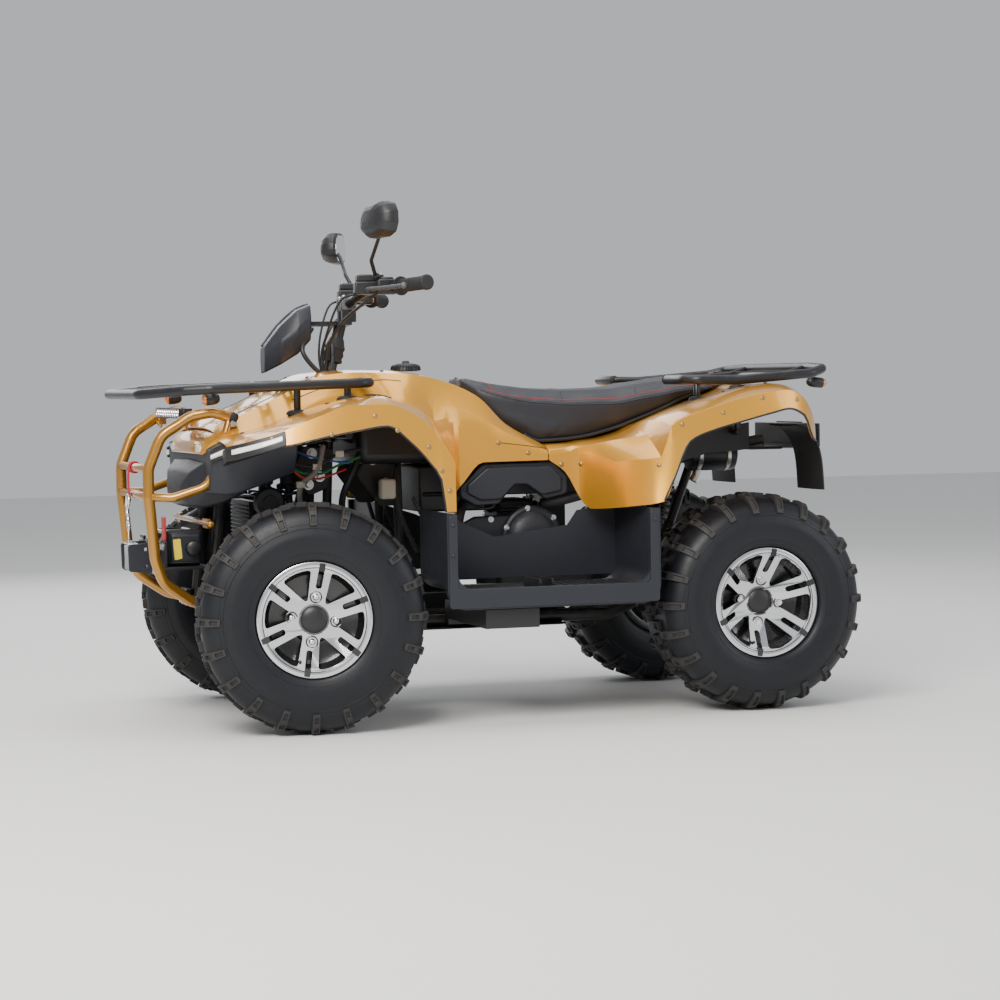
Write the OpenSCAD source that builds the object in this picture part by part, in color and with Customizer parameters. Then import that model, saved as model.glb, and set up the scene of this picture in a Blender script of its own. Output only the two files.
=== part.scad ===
// Utility quad bike: tubular frame, moulded body panels, racks, a bull bar with a winch,
// steered front wheels and a solid rear axle.
// +X is forward, +Y is the rider's left and +Z is up, in millimetres. The origin is on the
// ground under the middle of the outer box. Inside the modules lengths are measured from
// the rear axle, and framed() moves them to that origin.

/* [Size] */
// Distance between the front and the rear axle
wheelbase = 1182; // [1000:1:1420]
// Distance between the middles of the front tyres
front_track = 818; // [720:1:982]
// Distance between the middles of the rear tyres
rear_track = 730; // [660:1:880]
// Width over the mudguards
body_width = 1000; // [880:1:1200]
// Height added under the bodywork, seat, racks and handlebar
body_lift = 0; // [-20:1:60]

/* [Wheels] */
// Outer diameter of a front tyre
front_tyre_d = 570; // [500:1:600]
// Width of a front tyre
front_tyre_w = 180; // [150:1:200]
// Outer diameter of a rear tyre
rear_tyre_d = 560; // [500:1:600]
// Width of a rear tyre
rear_tyre_w = 250; // [210:1:280]
// Diameter of the rim where the tyre's bead sits
bead_d = 254; // [230:1:280]
// Diameter over the rim's flange
flange_d = 284; // [262:1:310]
// Diameter of the circle of wheel nuts
nut_circle_d = 110; // [100:1:130]
// Diameter of each wheel stud
stud_d = 10; // [8:0.5:14]

/* [Frame] */
// Outside diameter of the main frame tubes
rail_d = 32; // [25:1:40]
// Distance between the left and right main rails
rail_gap = 190; // [170:1:220]
// Outside diameter of the suspension arm tubes
arm_d = 22; // [18:1:28]
// Outside diameter of the rear axle
axle_d = 36; // [30:1:42]
// Thickness of the moulded panels
panel_t = 4; // [3:0.5:8]

/* [Steering] */
// Angle at which the steering is left, positive to the left
steer_rest = -7; // [-15:1:15]
// Backward lean of the steering stem
stem_lean = 14; // [8:1:20]
// Distance between the middle of the front tyre and its kingpin
kingpin_offset = 60; // [50:1:70]
// Length of the steering arms
steer_arm = 70; // [60:1:85]
// Diameter of the handlebar tube
bar_d = 22.2; // [20:0.1:28.6]
// Distance over the ends of the handlebar
bar_width = 780; // [700:1:860]

/* [Racks and bull bar] */
// Diameter of the rack tubes
rack_tube_d = 25; // [18:1:30]
// Width over the racks
rack_width = 745; // [640:1:850]
// Diameter of the bull bar tubes
bumper_tube_d = 28; // [22:1:34]

/* [Hidden] */

fine = 48;
tube_sides = 14;               // flats round a bent tube
box_middle_x = 646.75;           // middle of the outer box, from the rear axle
plain_wheelbase = 1182;        // the wheelbase that the lengths below are laid out for
stretch_from = 330;            // the part between the axles that grows with the wheelbase
stretch_to = 850;
plain_half_width = 500;
waist_y = 222;                 // inside this half-width nothing moves with body_width

post_r = 9;                    // posts that carry the racks, and their places
post_gap = 2;
post_y = 262;
front_post_x = [1050, 1180];
rear_post_x = [-10, 105];
function rack_bracket_z(x) = up(x > 1100 ? 716 : x > 900 ? 728 : 716);

front_x = wheelbase;
front_z = front_tyre_d / 2;
rear_z = rear_tyre_d / 2;
rail_y = rail_gap / 2;
rail_r = rail_d / 2;
kingpin_y = front_track / 2 - kingpin_offset;
kingpin_half = 72;             // half the distance between the ball joints
rod_z = front_z + 28;          // height of the tie rods' outer ends

// A length along the bike, moved with the wheelbase
function st(x) = let (grow = wheelbase - plain_wheelbase)
  x < stretch_from ? x : x > stretch_to ? x + grow : x + grow * (x - stretch_from)
    / (stretch_to - stretch_from);
// A half-width, moved with the width over the mudguards
function wide(y) = let (grow = body_width / 2 - plain_half_width, a = abs(y))
  a < waist_y ? y : sign(y) * (a + grow * (a - waist_y) / (plain_half_width - waist_y));
// A height on the bodywork
function up(z) = z + body_lift;
// A point of the bodywork
function at(x, y, z) = [st(x), wide(y), up(z)];
function mirror_y(p) = [p.x, -p.y, p.z];
function unit(v) = v / norm(v);
function basis(d) = let (w = unit(d), u = unit(cross(abs(w.z) < 0.9 ? [0, 0, 1] : [1, 0, 0], w)))
  [u, cross(w, u), w];

module framed() { translate([-box_middle_x - (wheelbase - plain_wheelbase) / 2, 0, 0]) children(); }
module both_sides() { children(); mirror([0, 1, 0]) children(); }
module placed(b, o) {
  multmatrix([[b[0].x, b[1].x, b[2].x, o.x], [b[0].y, b[1].y, b[2].y, o.y], [b[0].z, b[1].z, b[2].z, o.z]])
    children();
}
// A round bar between two points
module rod(a, b, r) { placed(basis(b - a), a) cylinder(h = norm(b - a), r = r, $fn = fine); }
// A bent tube swept along points, mitred at each bend; side is across the plane of its bends
module tube(points, r, side = [0, 0, 1], closed = false) {
  m = len(points);
  heading = [for (i = [0 : m - 1]) unit(i < m - 1 ? points[i + 1] - points[i]
    : closed ? points[0] - points[i] : points[i] - points[i - 1])];
  rings = [for (i = [0 : m - 1]) let (
    d = i > 0 ? heading[i - 1] : closed ? heading[m - 1] : heading[0],
    n = unit(d + heading[i]), u = unit(cross(side, d)), v = cross(d, u))
    [for (k = [0 : tube_sides - 1]) let (c = r * (cos(360 * k / tube_sides)
      * u + sin(360 * k / tube_sides) * v))
      points[i] + c - d * (c * n) / (d * n)]];
  if (closed) {
    lofted_ring(rings);
  } else {
    lofted(rings);
  }
}
// A block between two corners
module block(low, high) { translate(low) cube(high - low); }
// An outline in the X-Z plane, given thickness from y0 to y1
module side_plate(y0, y1) { translate([0, y1, 0]) rotate([90, 0, 0]) linear_extrude(y1 - y0) children(); }

// Triangles between two rows of a grid
function strip(a, b, n, flip) = [for (j = [0 : n - 2]) each flip
  ? [[a + j, b + j + 1, b + j], [a + j, a + j + 1, b + j + 1]]
  : [[a + j, b + j, b + j + 1], [a + j, b + j + 1, a + j + 1]]];
function grid_normal(g, i, j) = let (m = len(g) - 1, n = len(g[0]) - 1,
  along = g[min(i + 1, m)][j] - g[max(i - 1, 0)][j], across = g[i][min(j + 1, n)] - g[i][max(j - 1, 0)])
  unit(cross(along, across));
// A curved sheet of thickness t behind a grid of points; depth goes against the grid's normal
module sheet(g, t) {
  m = len(g);
  n = len(g[0]);
  back = [for (i = [0 : m - 1]) [for (j = [0 : n - 1]) g[i][j] - t * grid_normal(g, i, j)]];
  o = m * n;
  rows = [for (i = [0 : m - 2]) each strip(i * n, (i + 1) * n, n, false)];
  back_rows = [for (i = [0 : m - 2]) each strip(o + i * n, o + (i + 1) * n, n, true)];
  ends = concat(strip(o, 0, n, false), strip((m - 1) * n, o + (m - 1) * n, n, false));
  left = [for (i = [0 : m - 2]) each [[i * n, o + i * n, o + (i + 1) * n],
    [i * n, o + (i + 1) * n, (i + 1) * n]]];
  r = n - 1;
  right = [for (i = [0 : m - 2]) each
    [[i * n + r, (i + 1) * n + r, o + (i + 1) * n + r], [i * n + r, o + (i + 1) * n + r, o + i * n + r]]];
  polyhedron(concat([for (row = g) each row], [for (row = back) each row]),
    concat(rows, back_rows, ends, left, right), convexity = 8);
}
// A closed solid through rings that all have the same number of points
module lofted(rings) {
  m = len(rings);
  n = len(rings[0]);
  sides = [for (i = [0 : m - 2]) for (j = [0 : n - 1]) let (k = (j + 1) % n)
    each [[i * n + j, (i + 1) * n + j, (i + 1) * n + k], [i * n + j, (i + 1) * n + k, i * n + k]]];
  polyhedron([for (r = rings) each r],
    concat([[for (j = [0 : n - 1]) j]], sides, [[for (j = [n - 1 : -1 : 0]) (m - 1) * n + j]]),
      convexity = 8);
}

// A ring-shaped solid whose last ring joins its first
module lofted_ring(rings) {
  m = len(rings);
  n = len(rings[0]);
  polyhedron([for (r = rings) each r], [for (i = [0 : m - 1]) for (j = [0 : n - 1])
    let (k = (j + 1) % n, a = i * n, b = ((i + 1) % m) * n)
      each [[a + j, b + j, b + k], [a + j, b + k, a + k]]],
    convexity = 8);
}

// ---- frame ----
lower_z = 235;
pivot_x = 320;                 // pivot of the swing arm
pivot_y = rail_y - rail_r;
pivot_z = 300;
// Height of the upper rail's middle behind the seat's front
function rear_rail_z(x) = up(690 - 50 * (x + 150) / 270);
module frame_rails() color("#1b1c1e") framed() both_sides() {
  tube([[st(1345), rail_y, 560], [st(1375), rail_y, 300], [st(1350), rail_y, lower_z + 10],
    [st(1310), rail_y, lower_z],
    [st(300), rail_y, lower_z], [230, rail_y, 262], [120, rail_y, 470]], rail_r, [0, 1, 0]);
  tube([[-150, rail_y, up(690)], [120, rail_y, up(640)], [st(500), rail_y, up(600)],
    [st(900), rail_y, up(680)],
    [st(1040), rail_y, up(735)], [st(1200), rail_y, up(700)], [st(1335), rail_y, up(640)]], rail_r,
      [0, 1, 0]);
}
tie_reach = rail_y - rail_r;
module cross_tie(x, z, r) { rod([x, -tie_reach, z], [x, tie_reach, z], r); }
module frame_ties() color("#1b1c1e") framed() {
  cross_tie(st(1260), lower_z, 12);
  cross_tie(st(1080), lower_z, 12);
  cross_tie(st(420), lower_z, 12);
  cross_tie(90, up(644), 12);
  cross_tie(-120, up(683), 12);
  cross_tie(st(1130), up(718), 12);
  stem_bearing(steer_point(stem_at(718)), stem_r, 16, st(1130), up(718));
  stem_bearing(stem_foot - 34 * stem_dir, stem_foot_r, 14, st(1260), lower_z);
  both_sides() {
    rod([st(1080), rail_y, lower_z + rail_r + 0.3], [st(1060), rail_y, up(725) - rail_r], 12);
    rod([st(870), rail_y, lower_z + rail_r + 0.3], [st(880), rail_y, up(672.8) - rail_r], 12);
    rod([st(1345), rail_y, 560.6], [st(1336), rail_y, up(626)], 12);
    rod([119.3, rail_y, 472], [60, rail_y, rear_rail_z(60) - rail_r - 6.5], 12);
    block([pivot_x - 14, pivot_y, lower_z + rail_r], [pivot_x + 14, rail_y + rail_r, pivot_z + 18]);
    // brackets that carry the racks' posts
    for (x = front_post_x) rod([st(x), rail_y + rail_r, rack_bracket_z(x)],
      [st(x), post_y + post_r, rack_bracket_z(x)], 10);
    for (x = rear_post_x) {
      block([x - 8, rail_y - 8, rear_rail_z(x) + rail_r + 1.9], [x + 8, rail_y + 8, rack_bracket_z(x)]);
      rod([x, rail_y, rack_bracket_z(x)], [x, post_y + post_r, rack_bracket_z(x)], 8);
    }
  }
}

// A bearing round the stem, held by a cross tie in front of it; p is its middle
module stem_bearing(p, r, half, tie_x, tie_z) {
  difference() {
    union() {
      placed([stem_across, [0, 1, 0], stem_dir], p - half * stem_dir)
        cylinder(h = 2 * half, r = r + 9, $fn = fine);
      block([p.x + r + 5, -10, p.z - 7], [tie_x, 10, p.z + 7]);
      block([tie_x - 10, -10, min(tie_z, p.z - 7)], [tie_x + 10, 10, max(tie_z, p.z + 7)]);
    }
    placed([stem_across, [0, 1, 0], stem_dir], p - 60 * stem_dir)
      cylinder(h = 120, r = r + running, $fn = fine);
  }
}
// ---- engine and foot space ----
engine_low = [st(340), -150, lower_z + rail_r];
engine_high = [st(612), 118, 545];
module engine() color("#3a3b3d") framed() block(engine_low, engine_high);
module engine_cover() color("#232427") framed() {
  translate([0, engine_high.y, 0]) side_plate(0, 54) {
    translate([st(530), 450]) circle(r = 82, $fn = fine);
    translate([st(530), 432]) square([150, 76]);
    translate([st(530) + 150, 470]) circle(r = 38, $fn = fine);
  }
  translate([st(530), engine_high.y + 54, 450]) rotate([-90, 0, 0]) cylinder(h = 8, r = 62, $fn = fine);
}

// The foot space is a tub, open upward and outward
tub_in = 205;
tub_out = 492;
tub_t = 5;
floor_z = 336;
module tub_outline(x0, x1, z0, z1, r) {
  translate([x0 + r, z0 + r]) circle(r = r, $fn = fine);
  translate([x1 - r, z0 + r]) circle(r = r, $fn = fine);
  translate([x0 + r, z0]) square([x1 - x0 - 2 * r, z1 - z0]);
  translate([x0, z0 + r]) square([x1 - x0, z1 - z0 - r]);
}
tub_rear = 300;
tub_front = 862;
tub_top = 533;
module footwell() {
  y1 = wide(tub_out);
  // floor and end walls
  side_plate(tub_in, y1) difference() {
    tub_outline(tub_rear + 14, st(tub_front - 12), floor_z - tub_t, tub_top, 44);
    tub_outline(tub_rear + 14 + tub_t, st(tub_front - 12) - tub_t, floor_z, tub_top + 10, 40);
  }
  // inner wall
  side_plate(tub_in, tub_in + tub_t) polygon([[tub_rear + 16, floor_z + 14],
    [st(tub_front - 14), floor_z + 14],
    [st(tub_front - 14), 533], [st(746), 500], [st(651), 456], [st(451), 481], [st(424), 519],
      [tub_rear + 16, 533]]);
  // outer band that runs round the open side
  side_plate(y1 - 14, y1) difference() {
    tub_outline(tub_rear, st(tub_front), 294, tub_top, 48);
    tub_outline(tub_rear + 28, st(tub_front) - 26, floor_z + 10, tub_top + 10, 40);
  }
}
module footwell_left() color("#34363a") framed() footwell();
module footwell_right() color("#34363a") framed() mirror([0, 1, 0]) footwell();
module foot_pegs() color("#161616") framed() both_sides() {
  // beam from the lower rail under the tub
  block([st(618), rail_y + rail_r, 243], [st(758), 470, 290]);
  block([st(618), rail_y + rail_r, lower_z - 8], [st(758), 140, 250]);
  block([st(640), 230, 290], [st(736), 460, floor_z - tub_t]);
  // toothed bars that stand on the floor
  for (x = [575, 608]) block([st(x), 330, floor_z], [st(x) + 5, 455, floor_z + 26]);
}

// ---- bodywork ----
// Each station of the front body: x, then half-width and height of its lip, of the edge of the
// mudguard, of the mudguard's top, of the foot and the shoulder of the middle hump, and the
// height at the middle
front_body_stations = [
  [1385, [372, 703], [366, 709], [330, 716], [265, 722], [225, 742], 752],
  [1366, [412, 700], [404, 714], [350, 724], [262, 730], [215, 758], 764],
  [1266, [468, 706], [458, 744], [400, 752], [250, 754], [185, 800], 806],
  [1169, [488, 726], [478, 782], [410, 790], [245, 790], [175, 846], 852],
  [1090, [494, 740], [484, 806], [420, 816], [245, 812], [185, 880], 886],
  [1010, [495, 751], [486, 806], [425, 826], [245, 824], [200, 886], 893],
  [950, [495, 709], [488, 786], [430, 806], [262, 826], [205, 884], 893],
  [902, [494, 658], [488, 752], [420, 790], [270, 816], [205, 882], 892],
  [874, [492, 617], [487, 716], [400, 770], [270, 800], [205, 880], 890],
  [862, [490, 537], [486, 700], [390, 752], [268, 790], [203, 878], 889],
  [836, [488, 536], [484, 660], [360, 730], [256, 775], [202, 874], 886],
  [820, [440, 545], [430, 650], [330, 712], [248, 760], [201, 871], 884],
  [749, [232, 589], [228, 650], [225, 712], [222, 772], [196, 850], 866],
  [683, [223, 650], [223, 680], [222, 715], [216, 760], [190, 818], 826],
  [610, [222, 651], [222, 665], [221, 690], [214, 722], [186, 748], 752],
  [506, [222, 652], [222, 660], [221, 668], [218, 676], [188, 690], 690]];
function full_width(half) = concat(half, [for (k = [len(half) - 2 : -1 : 0]) mirror_y(half[k])]);
function station_points(s) = full_width(concat([for (k = [1 : 5]) at(s[0], s[k].x, s[k].y)],
  [at(s[0], 0, s[6])]));
module post_holes(xs, z0, z1) {
  both_sides() for (x = xs) translate([st(x), post_y, z0])
    cylinder(h = z1 - z0, r = post_r + post_gap, $fn = fine);
}
loop_low = [st(1384), 240, 648];        // ends of the bull bar's side loop, which passes the deck
loop_high = [st(1346), 234, up(777)];
module front_body() color("#d99a2b") framed() difference() {
  sheet([for (s = front_body_stations) station_points(s)], panel_t);
  post_holes(front_post_x, up(700), up(900));
  translate([st(stem_at(888).x), 0, up(850)]) cylinder(h = 80, r = stem_r + 8, $fn = fine);
  both_sides() rod(loop_low, loop_high, bumper_r);
}

rear_fender_stations = [
  [503, [222, 652], [222, 660], [221, 668], [218, 676], [188, 690], 688],
  [460, [224, 620], [223, 650], [222, 670], [214, 682], [188, 692], 688],
  [424, [228, 555], [228, 640], [226, 684], [210, 690], [186, 694], 690],
  [405, [262, 524], [255, 640], [245, 688], [214, 696], [186, 698], 692],
  [350, [420, 535], [372, 650], [290, 702], [222, 706], [184, 704], 698],
  [284, [484, 549], [462, 660], [360, 716], [236, 730], [182, 722], 712],
  [259, [486, 602], [472, 740], [380, 752], [240, 748], [182, 736], 724],
  [214, [487, 698], [476, 764], [390, 776], [242, 766], [184, 752], 740],
  [157, [488, 723], [476, 782], [392, 796], [244, 786], [186, 776], 764],
  [70, [488, 746], [476, 806], [390, 822], [246, 812], [186, 806], 796],
  [-13, [486, 766], [472, 822], [382, 838], [246, 832], [186, 830], 828],
  [-64, [480, 776], [466, 826], [376, 842], [246, 840], [186, 838], 838],
  [-112, [466, 758], [452, 808], [366, 834], [246, 838], [186, 838], 838],
  [-146, [440, 700], [432, 770], [352, 816], [240, 822], [186, 824], 824],
  [-172, [400, 690], [396, 730], [340, 770], [236, 780], [186, 782], 782]];
module rear_fender() color("#d99a2b") framed() difference() {
  sheet([for (s = rear_fender_stations) station_points(s)], panel_t);
  post_holes(rear_post_x, up(700), up(900));
}

// Dark nose under the front body, beside the bull bar; each station is x, then half-width and height
// of its top, of the headlight's upper and lower edges and of its bottom
nose_stations = [
  [1200, [345, 768], [345, 700], [338, 676], [310, 640]],
  [1290, [342, 736], [341, 722], [337, 700], [300, 606]],
  [1365, [322, 721.2], [315, 708], [311, 688], [274, 585]],
  [1405, [290, 700], [286, 690], [282, 672], [256, 590]]];
lamp_stand = 16;               // how far the headlights stand out of the nose
module nose_panel() color("#2e3033") framed()
  both_sides() sheet([for (s = nose_stations) [for (k = [1 : 4]) at(s[0], s[k].x, s[k].y)]], panel_t);
module headlights() color("#eceadf") framed() both_sides()
  lofted([for (k = [1 : 3]) let (s = nose_stations[k],
  u = [0.35, 0.94, 0], near = 0.6 * u, far = lamp_stand * u)
  [at(s[0], s[3].x, s[3].y + 2) + near, at(s[0], s[2].x, s[2].y - 2) + near, at(s[0], s[2].x, s[2].y - 4)
    + far,
   at(s[0], s[3].x, s[3].y + 3) + far]]);

flap_in = 216;
module tail_tray() color("#222325") framed() {
  block([-270, -flap_in, up(666)], [-153.5, flap_in, up(674)]);
  both_sides() block([-160, rail_y + rail_r + 0.3, up(666)], [-60, flap_in, up(674)]);
  block([-270, -flap_in, up(670)], [-262, flap_in, up(734)]);
  both_sides() side_plate(flap_in, wide(384)) polygon([for (p = [[-120, 736], [-158, 722], [-184, 690],
    [-198, 640],
    [-204, 562], [-198, 562], [-192, 640], [-178, 688], [-154, 717], [-120, 730]]) [p.x, up(p.y)]]);
  both_sides() block([-200, flap_in - 6, up(670)], [-150, flap_in, up(722)]);
}
side_cover_in = 186;
module side_covers() color("#2f3135") framed() both_sides() {
  side_plate(side_cover_in, 214) polygon([for (p = [[740, 588], [678, 646], [484, 648], [448, 610],
    [449, 562],
    [509, 550], [556, 587], [594, 588], [637, 540], [698, 537], [740, 561]]) [st(p.x), up(p.y)]]);
  rod([st(560), rail_y + rail_r, up(612)], [st(560), side_cover_in, up(612)], 11);
}

// The seat's outline along its middle and the edge that it rests on
seat_stations = [
  [690, 62, 846, 872, 880],
  [660, 110, 808, 852, 866],
  [610, 134, 753, 834, 853],
  [565, 145, 727, 822, 846],
  [500, 152, 694, 812, 838],
  [400, 158, 700, 806, 834],
  [300, 162, 722, 806, 836],
  [214, 166, 752, 819, 847],
  [157, 167, 773.7, 828, 854],
  [100, 168, 800, 838, 862],
  [20, 162, 828, 842, 866],
  [-36, 130, 842, 850, 860]];
function seat_ring(s) = [for (p = [[-0.86, s[2]], [-1, s[3] - 12], [-0.94, s[3]], [-0.6, s[4] - 2],
  [0, s[4]],
  [0.6, s[4] - 2], [0.94, s[3]], [1, s[3] - 12], [0.86, s[2]]]) [st(s[0]), s[1] * p.x, up(p.y)]];
module seat() color("#202124") framed() lofted([for (s = seat_stations) seat_ring(s)]);

cap_x = 824;
cap_r = 40;
// The cap rests on the highest point of the deck under it, which is under its front edge
cap_z = lookup(st(cap_x) + cap_r, [for (s = front_body_stations) [st(s[0]), up(s[6])]]) + 0.4;
module fuel_cap() color("#0f0f10") framed() translate([st(cap_x), 0, cap_z]) {
  cylinder(h = 14, r = cap_r, $fn = fine);
  translate([0, 0, 14]) cylinder(h = 12, r1 = cap_r, r2 = 26, $fn = fine);
}

// ---- racks, bull bar and winch ----
rack_r = rack_tube_d / 2;
rack_y = rack_width / 2 - rack_r;
function ring_of(half) = concat(half, [for (k = [len(half) - 1 : -1 : 0]) mirror_y(half[k])]);
slat_t = 4;
module slat(x, z, half) { block([x - 13, -half, z - slat_t / 2], [x + 13, half, z + slat_t / 2]); }
module rack_front() color("#17181a") framed() {
  tube(ring_of([[st(1010), 246, up(860)], [st(1010), rack_y - 24, up(860)], [st(1034), rack_y, up(859)],
    [st(1420), rack_y, up(849)], [st(1478), rack_y - 30, up(846)], [st(1573), 225, up(838)]]), rack_r);
  for (p = [[1190, 855], [1255, 853], [1340, 851], [1425, 849]])
    slat(st(p.x), up(p.y), rack_y - rack_r + 4);
  both_sides() rod([st(1182), 120, up(855.5)], [st(1573), 120, up(838)], 8);
  both_sides() for (x = front_post_x) {
    rod([st(x), post_y, rack_bracket_z(x) + 10], [st(x), post_y, up(853)], post_r);
    block([st(x) - 13, post_y - 4, up(850)], [st(x) + 13, rack_y - 4, up(856)]);
  }
}
module rack_rear() color("#17181a") framed() {
  tube(ring_of([[166, 205, up(856)], [166, rack_y - 30, up(856)], [140, rack_y, up(855)],
    [37, rack_y, up(852)],
    [-180, rack_y, up(868)], [-225, rack_y - 28, up(880)], [-238, 205, up(884)]]), rack_r);
  both_sides() {
    tube([for (p = [[166, 856], [140, 855], [37, 852], [-180, 868], [-236, 884]]) [p.x, 196, up(p.y)]], 8,
      [0, 1, 0]);
    for (x = rear_post_x) {
      rod([x, post_y, rack_bracket_z(x) + 8], [x, post_y, up(852)], post_r);
      block([x - 13, 190, up(850)], [x + 13, rack_y - 4, up(856)]);
    }
  }
  for (p = [[-90, 861], [-150, 865]]) slat(p.x, up(p.y), rack_y - rack_r + 4);
  slat(-202, up(874), rack_y - rack_r - 6);
}

bumper_r = bumper_tube_d / 2;
bumper_y = 200;
winch_plate_z = 398;
module bumper() color("#b98a2c") framed() {
  both_sides() {
    tube([[st(1338), 236, up(775)], [st(1388), 226, up(792)], [st(1440), 214, up(782)],
      [st(1515), 204, up(735)],
      [st(1548), bumper_y, up(652)], [st(1548), bumper_y, 583], [st(1534), 196, 426], [st(1512), 188, 366],
      [st(1440), 165, 316], [st(1398), 140, 306]], bumper_r, [0, 1, 0]);
    tube([[st(1548), bumper_y, 583], [st(1490), 222, 580], [st(1410), 236, 606], loop_low, loop_high],
      bumper_r - 3, [0, 1, 0]);
    block([st(1336), 229, up(756)], [st(1350), 243, up(772)]);
    block([st(1391.8), rail_y - 18, 284], [st(1404), 165, 328]);
  }
  rod([st(1548), -bumper_y, up(652)], [st(1548), bumper_y, up(652)], bumper_r - 3);
  rod([st(1548), -bumper_y, 583], [st(1548), bumper_y, 583], bumper_r - 3);
  block([st(1392), -188, winch_plate_z], [st(1506), 188, winch_plate_z + 6]);
  both_sides() block([st(1480), 164, winch_plate_z], [st(1524), 190, winch_plate_z + 6]);
}
winch_z = winch_plate_z + 6;
module winch() color("#2b2d30") framed() {
  block([st(1400), 84, winch_z], [st(1494), 150, winch_z + 92]);
  block([st(1400), -96, winch_z], [st(1494), -70, winch_z + 84]);
  translate([st(1447), -70, winch_z + 46]) rotate([-90, 0, 0]) cylinder(h = 154, r = 27, $fn = fine);
  translate([st(1447), -150, winch_z + 46]) rotate([-90, 0, 0]) cylinder(h = 54, r = 38, $fn = fine);
}
module fairlead() color("#26272a") framed() {
  x0 = st(1506);
  difference() {
    block([x0, -70, winch_z - 26], [x0 + 5, 70, winch_z + 62]);
    block([x0 - 1, -42, winch_z - 6], [x0 + 6, 42, winch_z + 44]);
  }
  both_sides() block([x0 + 5, 64, winch_z - 22], [x0 + 72, 70, winch_z + 58]);
  block([x0 + 5, -64, winch_z - 22], [x0 + 72, 64, winch_z - 16]);
  difference() {
    block([x0 + 5, -64, winch_z + 52], [x0 + 72, 64, winch_z + 58]);
    // slot that the rope leaves through
    block([x0 + 40, -5, winch_z + 50], [x0 + 80, 5, winch_z + 60]);
  }
  for (y = [-18, 18]) translate([x0 + 56, y, winch_z - 16]) cylinder(h = 68, r = 13, $fn = fine);
  for (z = [-4, 40]) rod([x0 + 26, -64, winch_z + z], [x0 + 26, 64, winch_z + z], 9);
}
rope_r = 3;
module winch_hook() color("#c9cacc") framed() {
  tube([[st(1461.6), 0, winch_z + 72.6], [st(1530), 0, winch_z + 18], [st(1560), 0, winch_z + 18],
    [st(1566), 0, winch_z + 26], [st(1566), 0, winch_z + 100]], rope_r, [0, 1, 0]);
  block([st(1566) - 7, -9, winch_z + 96], [st(1566) + 7, 9, winch_z + 190]);
  block([st(1548) + bumper_r - 3, -13, winch_z + 180], [st(1548) + bumper_r + 2, 13, up(655)]);
}
module light_bar() color("#101113") framed() {
  block([st(1425), -160, up(776)], [st(1462), 160, up(802)]);
  both_sides() rod([st(1425), 150, up(802)], [st(1425), 150, up(846.8)], 6);
}
module lamps() color("#1a1a1c") framed() {
  both_sides() {
    rod([st(1372), 250, up(826)], [st(1420), 250, up(822)], 15);
    rod([st(1425), 250, up(820)], [st(1425), 250, up(846.8)], 5);
    rod([-196, 292, up(846)], [-252, 292, up(840)], 14);
    rod([-205, 292, up(846)], [-205, 292, up(871.8)], 5);
  }
  block([-292, -80, up(668)], [-270, 80, up(730)]);
}

// ---- suspension ----
eye_r = 17;
eye_h = 16;
pin_r = 8;
running = 0.05;                // radial clearance of a pin in its bore
lower_joint_z = front_z - kingpin_half;
upper_joint_z = front_z + kingpin_half;
arm_spread = 95;
upper_mount_z = 372;
module arm(z_eye, z_frame) {
  difference() {
    union() {
      translate([front_x, kingpin_y, z_eye]) cylinder(h = eye_h, r = eye_r, $fn = fine);
      for (x = [-1, 1]) rod([front_x + x * arm_spread, rail_y + rail_r + arm_d / 2, z_frame],
        [front_x + x * 6, kingpin_y - 6, z_eye + eye_h / 2], arm_d / 2);
      rod([front_x - arm_spread - 22, rail_y + rail_r + arm_d / 2, z_frame],
        [front_x + arm_spread + 22, rail_y + rail_r + arm_d / 2, z_frame], arm_d / 2);
    }
    translate([front_x, kingpin_y, z_eye - 1]) cylinder(h = eye_h + 2, r = pin_r + running, $fn = fine);
    translate([front_x, kingpin_y, z_eye > front_z ? z_eye - 40 : z_eye + eye_h])
      cylinder(h = 40, r = 22, $fn = fine);
  }
}
shock_foot = [front_x, kingpin_y - 82, 221];
module front_arms() color("#1c1d1f") framed() both_sides() {
  arm(lower_joint_z - eye_h, lower_z);
  rod(shock_foot - [37, 0, 0], shock_foot + [37, 0, 0], 9);
  arm(upper_joint_z, upper_mount_z);
}
module shock(a, b, r) {
  rod(a, b, r * 0.42);
  rod(a + (b - a) * 0.16, a + (b - a) * 0.86, r);
}
module shocks() color("#26262a") framed() {
  both_sides() {
    head = [front_x, rail_y + rail_r + 14, up(692)];
    shock(shock_foot + 9.3 * unit(head - shock_foot), head, 30);
    rod(head - [0, 14, 0], head, 8);
  }
  foot = [150, 0, 372];
  tie = [90, 0, up(644)];
  shock(foot + 3.5 * unit(tie - foot), tie - 12.2 * unit(tie - foot), 34);
}
carrier_half = 58;
hitch_x = -62;
hitch_z = rear_z - 42;
hitch_t = 8;
hitch_r = 8;
module swing_arm() color("#1d1e20") framed() {
  difference() {
    union() {
      translate([0, -carrier_half, rear_z]) rotate([-90, 0, 0])
        cylinder(h = 2 * carrier_half, r = axle_d / 2 + 20, $fn = fine);
      both_sides() rod([20, 44, rear_z], [pivot_x, 44, pivot_z], 15);
      rod([pivot_x, -pivot_y, pivot_z], [pivot_x, pivot_y, pivot_z], 17);
      rod([150, -50, 300], [150, 50, 300], 15);
      rod([150, 0, 300], [150, 0, 372], 12);
      // towing plate behind the axle
      block([hitch_x - 16, -25, hitch_z], [-10, 25, hitch_z + hitch_t]);
    }
    translate([hitch_x, 0, hitch_z - 1]) cylinder(h = hitch_t + 2, r = hitch_r, $fn = fine);
    translate([0, -carrier_half - 10, rear_z]) rotate([-90, 0, 0])
      cylinder(h = 2 * carrier_half + 20, r = axle_d / 2 + running, $fn = fine);
  }
}
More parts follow.
